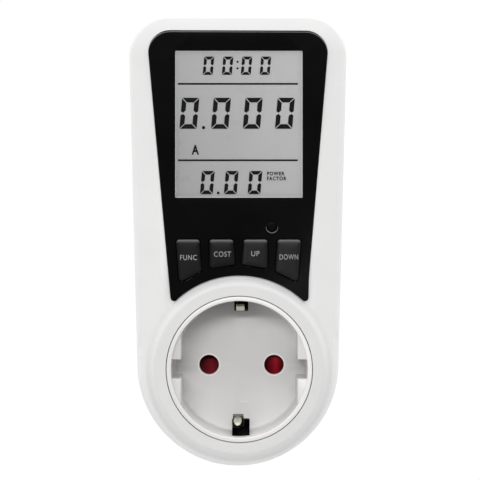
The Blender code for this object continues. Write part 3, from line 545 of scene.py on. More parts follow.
def loft_into(bm, rings):
    """A solid through rings of 3-D points."""
    rows = wall(bm, rings)
    bm.faces.new(rows[0][::-1])
    bm.faces.new(rows[-1])


def turned_into(bm, profile, count, centre=(0.0, 0.0)):
    """A solid turned about an upright axis, through (radius, height) points from axis to axis."""
    wall(bm, [level(circle(r, count, centre) if r else [centre], h) for r, h in profile])


def drum_into(bm, radius, low, high, count, centre=(0.0, 0.0)):
    turned_into(bm, [(0, low), (radius, low), (radius, high), (0, high)], count, centre)


def inside(points, polygon):
    """Which of the points lie inside the polygon."""
    x, y = points[:, 0], points[:, 1]
    found = np.zeros(len(points), bool)
    for (ax, ay), (bx, by) in zip(polygon, polygon[1:] + polygon[:1]):
        if ay == by:
            continue
        crosses = (ay > y) != (by > y)
        found ^= crosses & (x < (bx - ax) * (y - ay) / (by - ay) + ax)
    return found


def distance_to(points, polygon):
    """Distance of each point from a closed polygon's edge."""
    best = np.full(len(points), 1e9)
    for a, b in zip(polygon, polygon[1:] + polygon[:1]):
        a, b = np.array(a), np.array(b)
        share = np.clip(((points - a) @ (b - a)) / max((b - a) @ (b - a), 1e-12), 0, 1)
        nearest = a + share[:, None] * (b - a)
        best = np.minimum(best, np.hypot(*(points - nearest).T))
    return best


def sheet(bm, outer, holes, height, inner=(), margin=0.12):
    """A triangulated face bounded by outer, with holes, lifted to height(points).

    Of the inner points it uses those further than the margin from every edge.
    """
    coords, edges = [], []
    for loop in [outer] + holes:
        first, count = len(coords), len(loop)
        coords += loop
        edges += [(first + i, first + (i + 1) % count) for i in range(count)]
    if inner:
        inner = np.array(inner, float)
        keep = inside(inner, outer) & (distance_to(inner, outer) > margin)
        for loop in holes:
            keep &= ~inside(inner, loop) & (distance_to(inner, loop) > margin)
        coords += [tuple(p) for p in inner[keep]]
    points, _, faces, _, _, _ = delaunay_2d_cdt([Vector(c) for c in coords], edges, [], 0, 1e-5)
    flat = np.array([tuple(p) for p in points])
    middles = np.array([flat[list(f)].mean(axis=0) for f in faces])
    keep = inside(middles, outer)
    for loop in holes:
        keep &= ~inside(middles, loop)
    verts = [bm.verts.new((x, y, h)) for (x, y), h in zip(flat, height(flat))]
    for face, kept in zip(faces, keep):
        if kept:
            bm.faces.new([verts[i] for i in face])


def at_height(value):
    return lambda points: np.full(len(points), value)


def grid_over(outline):
    """Points in even rows over an outline's box, for faces that stay small."""
    xs, ys = [p[0] for p in outline], [p[1] for p in outline]
    across = int((max(xs) - min(xs)) / FACE_PITCH)
    up = int((max(ys) - min(ys)) / FACE_PITCH)
    return [(min(xs) + FACE_PITCH * (i + 0.5), min(ys) + FACE_PITCH * (j + 0.5))
            for i in range(across) for j in range(up)]


def to_mesh(name, bm):
    mesh = bpy.data.meshes.new(name)
    bm.to_mesh(mesh)
    bm.free()
    return mesh


def to_object(name, bm):
    """An object in the row frame from a shape in drawn millimetres."""
    bmesh.ops.remove_doubles(bm, verts=bm.verts, dist=1e-4)
    bmesh.ops.recalc_face_normals(bm, faces=bm.faces)
    bmesh.ops.transform(bm, matrix=STAND, verts=bm.verts)
    return linked(name, to_mesh(name, bm))


def evaluated_mesh(made):
    bpy.context.view_layer.update()
    graph = bpy.context.evaluated_depsgraph_get()
    return bpy.data.meshes.new_from_object(made.evaluated_get(graph))


def combine(target, steps):
    """Applies a list of (operation, bmesh) to the target and keeps only the result."""
    tools = []
    for i, (operation, bm) in enumerate(steps):
        step = target.modifiers.new(f"step_{i}", "BOOLEAN")
        step.operation = operation
        step.solver = "EXACT"
        step.object = to_object(f"tool_{i}", bm)
        tools.append(step.object)
    result = evaluated_mesh(target)
    target.modifiers.clear()
    target.data = result
    for tool in tools:
        bpy.data.objects.remove(tool)


def dress(made, slot, finish=None, body="housing", stands_for=(), angle=32.0):
    """Gives a new piece its shading, material and body, and hides the CAD nodes that it stands for.

    Its material is the slot's own, unless a finish is named.
    """
    made.data.materials.clear()
    made.data.materials.append(finish or FINISH[slot])
    made.data.shade_smooth()
    made.data.set_sharp_from_angle(angle=math.radians(angle))
    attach(made, body)
    if stands_for:
        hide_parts(*stands_for)


# ---------------- outlines

def hull_outline(inset):
    """The body outline moved inwards, anticlockwise from the right end of the large arc."""
    reach = math.hypot(*CORNER)
    lean = math.atan2(CORNER[1], CORNER[0]) - math.acos((BODY_R - CORNER_R) / reach)
    right = arc(CORNER, CORNER_R - inset, lean, math.pi / 2, 18)
    left = mirrored(right)
    foot = arc((0, 0), BODY_R - inset, math.pi - lean, 2 * math.pi + lean, 96)
    points = right + between(right[-1], left[0], 12) + left
    points += between(left[-1], foot[0], 24) + foot + between(foot[-1], right[0], 24)
    return [(x + BODY_AT[0], y + BODY_AT[1]) for x, y in points]


def hulls(steps):
    """Rings of the body outline at (inset, height) steps."""
    return [level(hull_outline(inset), h) for inset, h in steps]


def panel_outline(grow=0.0):
    """The display panel: rounded top corners, tapering sides and a concave foot."""
    lean = math.atan(PANEL_SLOPE)
    side = (math.cos(lean), -math.sin(lean))
    reach = PANEL_HALF * side[0] + PANEL_HALF_Y * side[1] + grow
    corner_r = PANEL_CORNER + grow
    cy = PANEL_TOP + grow - corner_r
    cx = (reach - corner_r - cy * side[1]) / side[0]
    small = PANEL_FOOT_CORNER + grow
    ring = PANEL_FOOT_R - grow + small
    along_side = reach - small
    rise = math.sqrt(ring ** 2 - along_side ** 2)
    fx = along_side * side[0] - rise * side[1]
    fy = along_side * side[1] + rise * side[0]
    inward = math.atan2(fy, fx)
    low = arc((fx, fy), small, inward - math.pi, -lean, 8)
    high = arc((cx, cy), corner_r, -lean, math.pi / 2, 14)
    right = low + between(low[-1], high[0], 40) + high
    left = mirrored(right)
    top = between(right[-1], left[0], 24)
    foot = arc((0, 0), PANEL_FOOT_R - grow, math.pi - inward, inward, 48)[1:-1]
    return [uneven(x, y) for x, y in right + top + left] + foot


def uneven(x, y):
    """Moves a point of the panel's symmetrical outline to where the real, uneven one has it."""
    fall = PANEL_TILT * (x + 18) * max(0.0, (y - 70) / 26)
    if x < 0:
        return x + PANEL_X + PANEL_LEAN * (PANEL_HALF_Y - y), y - fall
    return x + PANEL_X * min(1.0, max(0.0, (y - 20) / 6)), y - fall


def key_polygon(inner_x, outer_x, outer_lean):
    """A key's corners on the right-hand side: its foot follows a circle."""
    low_in = inner_x - KEY_LEAN * (KEY_TOP_Y - KEY_FOOT_Y[0])
    low_out = outer_x - outer_lean * (KEY_TOP_Y - KEY_FOOT_Y[1])
    foot_in = math.sqrt(KEY_FOOT_R ** 2 - low_in ** 2)
    foot_out = math.sqrt(KEY_FOOT_R ** 2 - low_out ** 2)
    return [(low_in, foot_in), (low_out, foot_out), (outer_x, KEY_TOP_Y), (inner_x, KEY_TOP_Y)]


INNER_KEY = key_polygon(*KEY_INNER_X, outer_lean=0.0)
OUTER_KEY = key_polygon(*KEY_OUTER_X, outer_lean=KEY_LEAN)
KEYS = {
    key: [(x + KEYS_X, y) for x, y in corners]
    for key, corners in (("function", mirrored(OUTER_KEY)), ("cost", mirrored(INNER_KEY)),
                         ("up", INNER_KEY), ("down", OUTER_KEY))
}


def key_outline(key, grow):
    return rounded(offset_polygon(KEYS[key], grow), max(KEY_CORNER + grow, 0.15))


def window_outline(grow):
    corners = rectangle(WINDOW_X[0] - grow, WINDOW_X[1] + grow,
                        WINDOW_Y[0] - grow, WINDOW_Y[1] + grow)
    return rounded(corners, 0.25 + grow, 4)


# ---------------- front shell

OUTLINE = hull_outline(0.0)


def smooth_step(value, low, high):
    t = np.clip((value - low) / (high - low), 0, 1)
    return t * t * (3 - 2 * t)


def front_height(points):
    """Height of the shell's outside: sloping shoulders, the collar and the panel's surround."""
    inset = np.clip(distance_to(points, OUTLINE) - DRAFT, 0, None)
    slope = SHOULDER_LOW + SHOULDER_RISE * inset
    near = 0.12
    mix = np.clip(0.5 + (H_FACE - slope) / (2 * near), 0, 1)
    body = H_FACE * (1 - mix) + slope * mix - near * mix * (1 - mix)
    short = np.clip(SHOULDER_EDGE - inset, 0, SHOULDER_EDGE)
    body = body - SHOULDER_EDGE + np.sqrt(SHOULDER_EDGE ** 2 - short ** 2)
    x, y = np.abs(points[:, 0]), points[:, 1]
    edge = SHOULDER_X - 0.055 * np.clip(y - 20, 0, 20)
    sunken = (1 - smooth_step(x, edge - 2.2, edge + 0.5)) * (1 - smooth_step(y, 24, 36))
    body = body - SURROUND_DEPTH * sunken * smooth_step(y, 8, 16)
    r = np.hypot(points[:, 0], points[:, 1])
    fall = smooth_step(r, COLLAR_TOP_R - 0.3, COLLAR_BASE_R + 0.2)
    collar = H_COLLAR - 2.7 * fall - 4.0 * np.clip(r - COLLAR_BASE_R, 0, None)
    soft = 0.35 + 0.5 * smooth_step(r, 25.0, 26.4)
    blend = np.clip(0.5 + (collar - body) / (2 * soft), 0, 1)
    return body * (1 - blend) + collar * blend + soft * blend * (1 - blend)


def lifted(loop):
    """A loop laid on the shell's outside."""
    return [(x, y, h) for (x, y), h in zip(loop, front_height(np.array(loop)))]


def face_points():
    """Points that follow the shell's outside: rings by its edge and collar, rows by its foot."""
    points = []
    for inset in (0.13, 0.27, 0.42, 0.6, 0.8, 1.05, 1.3, 1.8, 2.6, 3.6, 4.6, 5.6, 6.4, 6.8, 7.1,
                  7.4, 7.7, 8.2):
        points += hull_outline(DRAFT + inset)
    for i in range(26):
        points += circle(21.0 + 0.28 * i, 200)
    for i in range(14):
        for j in range(80):
            points.append((18.4 + 0.4 * i, 8.0 + 0.4 * j))
            points.append((-18.4 - 0.4 * i, 8.0 + 0.4 * j))
    apart = 0.13
    spread = {}
    for x, y in points:
        spread.setdefault((round(x / apart), round(y / apart)), (x, y))
    return list(spread.values())


def front_shell():
    bm = bmesh.new()
    recess = panel_outline(0.12)
    mouth = circle(CUP_R + 0.18, 200)
    rim = hull_outline(DRAFT)
    sheet(bm, rim, [recess, mouth], front_height, face_points(), margin=0.1)

    lead = 0.2
    ceiling = H_FACE - 3.7
    sides = [lifted(rim)]
    sides += hulls((DRAFT * (1 - i / 6), RIM_H - i / 6 * (RIM_H - H_PARTING)) for i in range(1, 6))
    sides += hulls([(0.0, H_PARTING + lead), (lead, H_PARTING), (WALL, H_PARTING),
                    (WALL + DRAFT, ceiling)])
    wall(bm, sides)
    openings = [window_outline(1.9)] + [key_outline(k, 0.35) for k in KEYS]
    openings.append(circle(RESET_R + 0.35, 32, RESET_AT))
    for loop in openings:
        wall(bm, [level(loop, H_LEDGE), level(loop, ceiling)])
    wall(bm, [lifted(recess), level(recess, H_LEDGE)])
    wall(bm, [lifted(mouth), level(mouth, ceiling)])
    sheet(bm, recess, openings, at_height(H_LEDGE))
    sheet(bm, hull_outline(WALL + DRAFT), openings + [mouth], at_height(ceiling))
    dress(to_object("front_shell", bm), "white_shell", SHELL_FRONT,
          stands_for=["front_housing"], angle=40)


# ---------------- rear shell, plug and pins

def plug_outline(shrink=0.0):
    """The plug's cross-section: a circle with side flats and a narrow key on each flat."""
    reach, flat, key = PLUG_R - shrink, PLUG_FLAT_X - shrink, PLUG_KEY - shrink
    flat_angle, key_angle = math.acos(flat / reach), math.asin(key / reach)
    half = arc((0, 0), reach, -key_angle, key_angle, 8) + [(flat, key)]
    half += arc((0, 0), reach, flat_angle, math.pi - flat_angle, 80) + [(-flat, key)]
    return half + [(-x, -y) for x, y in half]


def rear_tub(bm):
    """The rear shell's outside, with a lip that fits inside the front shell."""
    low, lead = H_BACK + BACK_FILLET, 0.2
    rings = hulls((BACK_DRAFT + inset, H_BACK + drop) for inset, drop in quarter(BACK_FILLET, 10))
    rings += hulls((BACK_DRAFT * (1 - i / 8), low + (SEAM_H - low) * i / 8) for i in range(1, 8))
    rings += hulls([(0.0, SEAM_H - lead), (lead, SEAM_H), (WALL + lead, SEAM_H),
                    (WALL + 0.3, SEAM_H + 1.6)])
    loft_into(bm, rings)


def plug_body(bm):
    rings = [level(plug_outline(inset), drop) for inset, drop in quarter(0.7, 6)]
    rings += [level(plug_outline(), h) for h in (6.0, 12.0, H_BACK - 0.6)]
    rings += [level(plug_outline(-0.5), H_BACK), level(plug_outline(-0.5), H_BACK + 1)]
    loft_into(bm, rings)


def rear_shell():
    tub, hollow, plug, bore, posts, wells, holes, slots = [bmesh.new() for _ in range(8)]
    rear_tub(tub)
    shell = to_object("rear_shell", tub)
    loft_into(hollow, hulls([(3.8, H_BACK + WALL), (3.4, H_BACK + WALL + 2),
                             (3.4, H_PARTING + 3)]))
    plug_body(plug)
    drum_into(bore, PLUG_BORE, WALL, H_BACK + 3, 96)
    for at in SCREW_WELLS:
        drum_into(posts, POST_R, H_BACK + 1, SEAM_H, 48, at)
        turned_into(wells, [(0, H_BACK - 1), (WELL_R + 1, H_BACK - 1), (WELL_R, H_BACK + 0.35),
                            (WELL_R, WELL_TOP), (SCREW_R, WELL_TOP), (SCREW_R, H_PARTING + 3),
                            (0, H_PARTING + 3)], 40, at)
    for side in (-1, 1):
        drum_into(holes, PIN_R + 0.25, -1, WALL + 1, 40, (side * PIN_X, 0))
    for slot in PLUG_SLOTS:
        corners = rounded(rectangle(*slot), 0.3, 3)
        loft_into(slots, [level(corners, 1.2), level(corners, H_BACK + WALL + 1)])
    combine(shell, [("DIFFERENCE", hollow), ("UNION", plug), ("DIFFERENCE", bore), ("UNION", posts),
                    ("DIFFERENCE", wells), ("DIFFERENCE", holes), ("DIFFERENCE", slots)])
    dress(shell, "white_shell", stands_for=["rear_housing"])


def plug_pins():
    root, top = PIN_ROOT
    profile = [(PIN_R * (1 - inset), PIN_TIP_H + 2.0 * drop) for inset, drop in quarter(1.0, 12)]
    profile += [(PIN_R, -9.0), (PIN_R, 2.3), (PIN_COLLAR_R, 2.3), (PIN_COLLAR_R, 3.8),
                (root, 3.8), (root, top), (0, top)]
    for name, side in (("line", 1), ("neutral", -1)):
        bm = bmesh.new()
        turned_into(bm, profile, 48, (side * PIN_X, 0))
        dress(to_object(f"{name}_plug_pin", bm), "nickel", stands_for=[f"{name}_pin"])


# ---------------- socket

def cup_profile():
    """The cup's section: its outside, the lip over its rim, the bore and the rounded floor."""
    outer = [(CUP_R, FLOOR - WALL), (CUP_R, H_COLLAR - 0.3), (CUP_R - 0.12, H_COLLAR - 0.08)]
    lip = [(CUP_R - 0.35, H_COLLAR)]
    lip += [(CUP_BORE + inset, H_COLLAR - drop) for inset, drop in quarter(0.3, 6)]
    bore = [(CUP_BORE, H_COLLAR - 4.0), (CUP_BORE, FLOOR + 5.0)]
    corner = [(CUP_BORE - drop, FLOOR + inset) for inset, drop in quarter(0.9, 6)]
    return [(0, FLOOR - WALL)] + outer + lip + bore + corner + [(0, FLOOR)]


def guide_block(sx, sy, inset):
    """Outline of one block between the bore and the flat side, its outer arc inside the wall."""
    inner = CUP_BORE + 0.5
    first = math.asin((CUP_NOTCH + inset) / inner)
    last = math.asin(math.sqrt(inner ** 2 - (CUP_FLAT_X + inset) ** 2) / inner)
    corners = [(CUP_FLAT_X + inset, CUP_NOTCH + inset)] + arc((0, 0), inner, first, last, 16)
    return [(sx * x, sy * y) for x, y in (corners if sx * sy > 0 else corners[::-1])]


def socket_insert():
    body, blocks, holes, slots = [bmesh.new() for _ in range(4)]
    turned_into(body, cup_profile(), 160)
    cup = to_object("socket_insert", body)
    top = H_COLLAR - 1.2
    for sx, sy in ((1, 1), (-1, 1), (-1, -1), (1, -1)):
        loft_into(blocks, [level(guide_block(sx, sy, inset), h) for inset, h in (
            (0, FLOOR - 0.5), (0, top - 0.3), (0.1, top - 0.08), (0.3, top))])
    for side in (-1, 1):
        turned_into(holes, [(0, FLOOR - WALL - 1), (HOLE_R, FLOOR - WALL - 1),
                            (HOLE_R, FLOOR - 0.2), (HOLE_R + 0.06, FLOOR - 0.08),
                            (HOLE_R + 0.3, FLOOR + 0.4), (0, FLOOR + 0.4)], 64,
                    (side * PIN_X + HOLE_SHIFT, 0))
    for slot in SOCKET_SLOTS:
        corners = rounded(rectangle(*slot), 0.35, 4)
        loft_into(slots, [level(corners, FLOOR - WALL - 1), level(corners, H_COLLAR - 4.2)])
    combine(cup, [("UNION", blocks), ("DIFFERENCE", holes), ("DIFFERENCE", slots)])
    dress(cup, "socket_white", SOCKET_INSERT, stands_for=["socket_cup"])


def raised_bar(name, corners, heights, shrink, slot, finish=None):
    """A low bar through three heights, drawn in by shrink at the top."""
    bm = bmesh.new()
    low, middle, top = heights
    loft_into(bm, [level(corners, low), level(corners, middle),
                   level(offset_polygon(corners, -shrink), top)])
    dress(to_object(name, bm), slot, finish)


def socket_details():
    """Dark cards as painted shade behind the earth slots, a contact's tip, a mould mark and pale
    rims as a painted highlight round the holes.
    """
    # painted shade: a dark card where the case's inside lies in shade
    for name, span in SHADE_CARDS.items():
        raised_bar(f"channel_shade_card_{name}", rounded(rectangle(*span), 0.4, 4),
                   (SHADE_CARD_H, SHADE_CARD_H + 0.2, SHADE_CARD_H + 0.3), 0.1, "chip_black")

    bm = bmesh.new()
    lean = Matrix.Rotation(math.radians(-TIP_LEAN), 4, "X") @ Matrix.Diagonal((*TIP_SIZE, 1))
    bmesh.ops.create_uvsphere(bm, u_segments=40, v_segments=24, radius=1.0,
                              matrix=Matrix.Translation(TIP_AT) @ lean)
    dress(to_object("earth_tip_lower", bm), "nickel", CONTACT_TIP)

    raised_bar("ejector_mark", rounded(rectangle(*MOULD_MARK), 0.18, 4),
               (FLOOR - 0.05, FLOOR + 0.05, FLOOR + 0.1), 0.05, "socket_white", HOLE_RIM)

    # painted highlight: a pale ring round each hole's edge
    for name, side in (("left", -1), ("right", 1)):
        bm = bmesh.new()
        edges = [(0.07, -0.05), (0.1, 0.03), (0.27, 0.06), (0.44, 0.03), (0.48, -0.05)]
        rings = [level(circle(HOLE_R + grow, 64, (side * PIN_X + HOLE_SHIFT, 0)), FLOOR + rise)
                 for grow, rise in edges]
        wall(bm, rings + rings[:1])
        dress(to_object(f"hole_rim_{name}", bm), "socket_white", HOLE_RIM)


# ---------------- panel, window and display

def panel_edge(inset, drop, further=0.0):
    """A ring of the panel's edge: a small round, widening to a steep chamfer on the upper side.

    inset and drop are those of a round of radius 1, and further moves the ring inwards.
    """
    small = panel_outline(-0.04 * inset - further)
    wide = panel_outline(-0.55 * inset - further)
    made = []
    before, after = small[-1:] + small[:-1], small[1:] + small[:1]
    for (ax, ay), (bx, by), near, far in zip(before, after, small, wide):
        upward = max(0.0, (ax - bx) / max(math.hypot(bx - ax, by - ay), 1e-9))
        x = near[0] * (1 - upward) + far[0] * upward
        y = near[1] * (1 - upward) + far[1] * upward
        fall = 0.04 * drop * (1 - upward) + 1.3 * (1 - inset) * upward
        made.append((x, y, H_PANEL - fall))
    return made


def panel():
    bm = bmesh.new()
    back = H_LEDGE + 0.25
    outer = [panel_edge(inset, drop) for inset, drop in quarter(1.0, 8)]
    wall(bm, outer + [level(panel_outline(), back)])
    openings = [(window_outline, 0.05)]
    openings += [(lambda g, k=k: key_outline(k, 0.3 + g), 0.03) for k in KEYS]
    openings.append((lambda g: circle(RESET_R + 0.12 + g, 40, RESET_AT), 0.04))
    support = [(x, y) for x, y, _ in panel_edge(1.0, 0.0, 0.14)]
    for outline, edge in openings:
        rings = [level(outline(i), H_PANEL - d) for i, d in quarter(edge, 6)]
        wall(bm, rings + [level(outline(0.0), back)])
        support += outline(edge + 0.15)
    face = [(x, y) for x, y, _ in outer[0]]
    sheet(bm, face, [outline(edge) for outline, edge in openings], at_height(H_PANEL), support)
    sheet(bm, panel_outline(), [outline(0.0) for outline, _ in openings], at_height(back))
    dress(to_object("fascia_panel", bm), "panel_black", stands_for=["display_panel"], angle=40)


def reset_rim():
    """A pale crescent on the panel, below the reset button: a painted glint on the hole's lower
    edge.
    """
    bm = bmesh.new()
    outer, inner = [], []
    steps = 40
    for i in range(steps + 1):
        a = math.radians(176 + 188 * i / steps)
        thick = 0.02 + 0.08 * math.sin(math.pi * i / steps)
        for reach, row in ((RESET_R + 0.18 + thick, outer), (RESET_R + 0.18, inner)):
            row.append((RESET_AT[0] + reach * math.cos(a), RESET_AT[1] + reach * math.sin(a)))
    crescent = outer + inner[::-1]
    loft_into(bm, [level(crescent, H_PANEL - 0.05), level(crescent, H_PANEL + 0.02)])
    dress(to_object("reset_rim", bm), "panel_black", GLINT)


def window():
    bm = bmesh.new()
    high, low = H_PANEL - 0.35, H_LCD + 0.12
    flat, edge = window_outline(-0.3), window_outline(-LENS_GAP)
    rings = [level(flat, high)]
    rings += [level(window_outline(-LENS_GAP - i), high - d) for i, d in quarter(0.1, 3)]
    wall(bm, rings + [level(edge, low)])
    sheet(bm, flat, [], at_height(high), grid_over(flat))
    sheet(bm, edge, [], at_height(low), grid_over(flat))
    dress(to_object("window_lens", bm), "lens_clear", stands_for=["display_lens"])


def lcd_plate():
    bm = bmesh.new()
    outline = rounded(rectangle(*LCD_SPAN), 0.3, 3)
    seen = window_outline(-0.03)
    low, step = H_LEDGE - 1.9, H_LEDGE - 0.2
    wall(bm, [level(outline, low), level(outline, step)])
    wall(bm, [level(seen, step), level(seen, H_LCD)])
    sheet(bm, outline, [], at_height(low))
    sheet(bm, outline, [seen], at_height(step))
    sheet(bm, seen, [], at_height(H_LCD), grid_over(seen))
    dress(to_object("lcd_plate", bm), "lcd_grey", stands_for=["lcd_cell"])


def lcd_edge_highlight():
    """A pale line round the display, just inside the window: a painted highlight of the lens's lit
    edge.
    """
    bm = bmesh.new()
    rings = [level(window_outline(grow), H_LCD + rise)
             for grow, rise in ((-0.04, -0.06), (-0.04, 0.03), (-0.26, 0.03), (-0.26, -0.06))]
    wall(bm, rings + rings[:1])
    dress(to_object("lcd_edge_highlight", bm), "lcd_grey", EDGE_HIGHLIGHT)


# ---------------- what the display shows

SLANT = math.tan(math.radians(5.0))
# Rows of zeros: their left edges, the y of their foot, then width, height, stroke and gap
ZEROS = [((-10.4, -4.97, 0.4, 5.76), 83.35, 2.85, 5.2, 0.84, 0.12),
         ((-17.0, -8.03, 0.98, 10.1), 68.05, 4.9, 8.8, 1.32, 0.17),
         ((-11.18, -4.4, 2.33), 49.5, 3.65, 6.6, 1.05, 0.15)]
# Colon and decimal points: radius, count of sides and place
DOTS = [(0.31, 12, (-0.5, 87.05)), (0.31, 12, (-0.5, 85.2)), (0.46, 16, (-10.15, 68.4)),
        (0.40, 16, (-6.0, 49.85))]
RULES = [80.8, 59.12]


def segment_zero(x, y, width, height, t, gap):
    """The six lit segments of a zero, from its lower left corner, leaning to the right."""
    half = height / 2
    top = [(gap, height), (width - gap, height), (width - t - gap, height - t),
           (t + gap, height - t)]
    upper = [(0, height - gap), (0, half + gap + t * 0.3), (t * 0.5, half + gap),
             (t, half + gap + t * 0.45), (t, height - t - gap)]
    made = [top, upper, [(width - a, b) for a, b in upper]]
    made += [[(a, height - b) for a, b in shape] for shape in made]
    return [[(x + a + SLANT * b, y + b) for a, b in shape] for shape in made]


def area(polygon):
    return sum(ax * by - bx * ay for (ax, ay), (bx, by) in zip(polygon, polygon[1:] + polygon[:1]))


def lcd_marks():
    """Clock, main value and power factor rows, with their rules and points."""
    shapes = []
    for lefts, y, *sizes in ZEROS:
        for x in lefts:
            shapes += segment_zero(x, y, *sizes)
    shapes += [circle(*dot) for dot in DOTS]
    shapes += [rectangle(*RULE_X, y - 0.25, y + 0.25) for y in RULES]
    bm = bmesh.new()
    for shape in shapes:
        if area(shape) < 0:
            shape = shape[::-1]
        loft_into(bm, [level(shape, H_LCD + 0.01), level(shape, H_LCD + 0.05)])
    dress(to_object("lcd_marks", bm), "lcd_grey", INK)


def letters(name, words, centre, height, size, slot, finish, body, weight, spread):
    """Words centred on a point of a level face, fitted to a (width, cap height)."""
    curve = bpy.data.curves.new(name, "FONT")
    curve.body = words
    curve.offset = weight
    curve.space_character = spread
    curve.extrude = 0.02
    source = linked(name, curve)
    mesh = evaluated_mesh(source)
    bpy.data.objects.remove(source)
    xs = [v.co.x for v in mesh.vertices]
    ys = [v.co.y for v in mesh.vertices]
    middle = Matrix.Translation((-(min(xs) + max(xs)) / 2, -(min(ys) + max(ys)) / 2, 0))
    fit = Matrix.Diagonal((size[0] / (max(xs) - min(xs)), size[1] / (max(ys) - min(ys)), 1, 1))
    place = Matrix.Translation((*centre, height + 0.03))
    mesh.transform(STAND @ place @ fit @ middle)
    dress(linked(name, mesh), slot, finish, body=body)


def lcd_words():
    for name, words, centre, size in (
            ("unit_mark", "A", (-12.48, 62.1), (2.1, 2.8)),
            ("factor_mark_1", "POWER", (10.35, 55.35), (4.95, 1.1)),
            ("factor_mark_2", "FACTOR", (10.6, 53.95), (5.5, 1.1))):
        letters(name, words, centre, H_LCD, size, "lcd_grey", INK, "housing", 0.035, 1.25)


# ---------------- keys

LEGENDS = {
    "function": ("FUNC", (-14.36, 31.55), 4.7),
    "cost": ("COST", (-4.75, 32.5), 4.8),
    "up": ("UP", (4.55, 32.65), 2.3),
    "down": ("DOWN", (14.0, 31.7), 5.25),
}


def key_cap(key):
    bm = bmesh.new()
    crown = H_KEY - 0.06
    rings = [level(key_outline(key, grow), h) for grow, h in (
        (0.8, FLANGE[0]), (0.8, FLANGE[1]), (0.0, FLANGE[1]), (0.0, 50.5))]
    for inset, drop in quarter(KEY_EDGE, 8)[::-1]:
        loop = rounded(offset_polygon(KEYS[key], -inset), max(KEY_CORNER - inset, 0.2))
        rings.append([(x, y - KEY_TIP * inset / KEY_EDGE, crown - drop) for x, y in loop])
    for inset, rise in ((1.1, 0.03), (1.8, 0.06)):
        loop = rounded(offset_polygon(KEYS[key], -inset), 0.25)
        rings.append([(x, y - KEY_TIP, crown + rise) for x, y in loop])
    loft_into(bm, rings)
    body = f"{key}_key"
    dress(to_object(f"keycap_{key}", bm), "key_grey", KEY_FINISH[key], body=body,
          stands_for=[f"key_{key}"], angle=30)
    words, centre, width = LEGENDS[key]
    letters(f"legend_{key}", words, centre, H_KEY, (width, LEGEND_CAP), "key_grey", LEGEND,
            body, -0.002, 1.12)


def reset_cap():
    bm = bmesh.new()
    profile = [(0, FLANGE[0]), (RESET_FLANGE_R, FLANGE[0]), (RESET_FLANGE_R, FLANGE[1]),
               (RESET_R, FLANGE[1])]
    profile += [(RESET_R - i, H_RESET - d) for i, d in quarter(0.35, 6)[::-1]]
    profile += [(0.9, H_RESET), (0.5, H_RESET), (0, H_RESET)]
    turned_into(bm, profile, 48, RESET_AT)
    dress(to_object("keycap_reset", bm), "panel_black", RESET_BLACK, body="reset_button",
          stands_for=["key_reset"])


# ---------------- light and setting

# The studio's brightness: first straight in front of the meter out to 50 degrees, as
# (1 - cos) / 2 and value, then beside it and behind it, for each direction across it
SKY_FRONT = [(0.0, 0.04), (0.025, 0.05), (0.07, 0.34), (0.2, 0.78)]
SKY = [("Z", 1.0, 2.25, 1.81), ("Z", -1.0, 0.52, 0.88), ("X", -1.0, 0.69, 0.94),
       ("X", 1.0, 0.80, 0.98)]
BACKDROP = 1.02      # brightness of the white that the camera sees behind the meter
LAMP_POWER = 5.83
LAMP_SIZE = (0.75, 0.12)
LAMP_SIDE = -6.0     # degrees from straight in front, to the left
LAMP_RISE = 16.0     # degrees above level
LAMP_REACH = 1.2
FLOOR_Z = -0.25


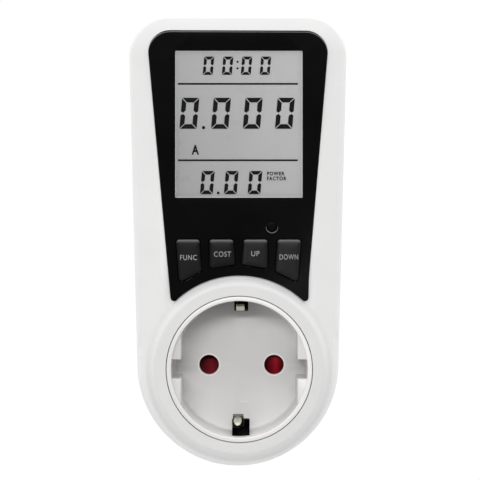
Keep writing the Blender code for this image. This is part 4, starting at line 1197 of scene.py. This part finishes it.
def studio():
    """A room that is plain white to the camera and lights the meter by direction."""
    world = bpy.data.worlds.new("studio")
    bpy.context.scene.world = world
    world.use_nodes = True
    tree = world.node_tree
    tree.nodes.clear()
    split = node(tree, "SeparateXYZ", {0: node(tree, "TexCoord", {}).outputs["Generated"]}).outputs
    behind_share = rescale(tree, split["Y"], -1.0, 1.0)
    across = product(tree, split["X"], split["X"])
    upright = product(tree, split["Z"], split["Z"])
    around = calc(tree, "ADD", calc(tree, "ADD", across, upright), 1e-5)
    parts = []
    for axis, sign, beside, behind in SKY:
        stops = SKY_FRONT + [(0.35, beside), (0.5, behind)]
        glow = ramp(tree, behind_share, [(place, [value] * 3) for place, value in stops])
        lobe = calc(tree, "MAXIMUM", product(tree, split[axis], sign), 0.0)
        lobe = calc(tree, "DIVIDE", product(tree, lobe, lobe), around)
        parts.append(product(tree, glow, lobe))
    upper, lower, left, right = parts
    light = calc(tree, "ADD", calc(tree, "ADD", upper, lower), calc(tree, "ADD", left, right))
    room = node(tree, "Background", {"Color": (1, 1, 1, 1), "Strength": light})
    plain = node(tree, "Background", {"Color": (1, 1, 1, 1), "Strength": BACKDROP})
    seen = node(tree, "LightPath", {}).outputs["Is Camera Ray"]
    mix = node(tree, "MixShader", {0: seen, 1: room.outputs[0], 2: plain.outputs[0]})
    node(tree, "OutputWorld", {"Surface": mix.outputs[0]})
    bpy.context.scene.view_settings.view_transform = "Standard"


def key_light():
    """A wide, low lamp in front of the meter and above it."""
    lamp_data = bpy.data.lights.new("key_light", "AREA")
    lamp_data.shape = "ELLIPSE"
    lamp_data.size, lamp_data.size_y = LAMP_SIZE
    lamp_data.energy = LAMP_POWER
    lamp = linked("key_light", lamp_data)
    target = STAND @ Vector((0, 20, 50))
    side, rise = math.radians(LAMP_SIDE), math.radians(LAMP_RISE)
    toward = Vector((math.sin(side) * math.cos(rise), -math.cos(side) * math.cos(rise),
                     math.sin(rise)))
    lamp.location = target + toward * LAMP_REACH
    lamp.rotation_mode = "QUATERNION"
    lamp.rotation_quaternion = (target - lamp.location).to_track_quat("-Z", "Y")


def pale_floor():
    bm = bmesh.new()
    rows = wall(bm, [level(circle(290.0, 96), 0.0), level(circle(294.0, 96), -4.0)])
    bm.faces.new(rows[0][::-1])
    bmesh.ops.recalc_face_normals(bm, faces=bm.faces)
    bmesh.ops.scale(bm, vec=(MM, MM, MM), verts=bm.verts)
    floor = linked("floor", to_mesh("floor", bm))
    floor.location = (0, 0, FLOOR_Z)
    floor.data.materials.append(surface("floor_pale", (0.62, 0.62, 0.62), 0.8, grain=300,
                                        depth=2e-5, mottle=0.01, patch=6))


front_shell()
rear_shell()
plug_pins()
socket_insert()
socket_details()
panel()
reset_rim()
window()
lcd_plate()
lcd_edge_highlight()
lcd_marks()
lcd_words()
for key_name in KEYS:
    key_cap(key_name)
reset_cap()
studio()
key_light()
pale_floor()
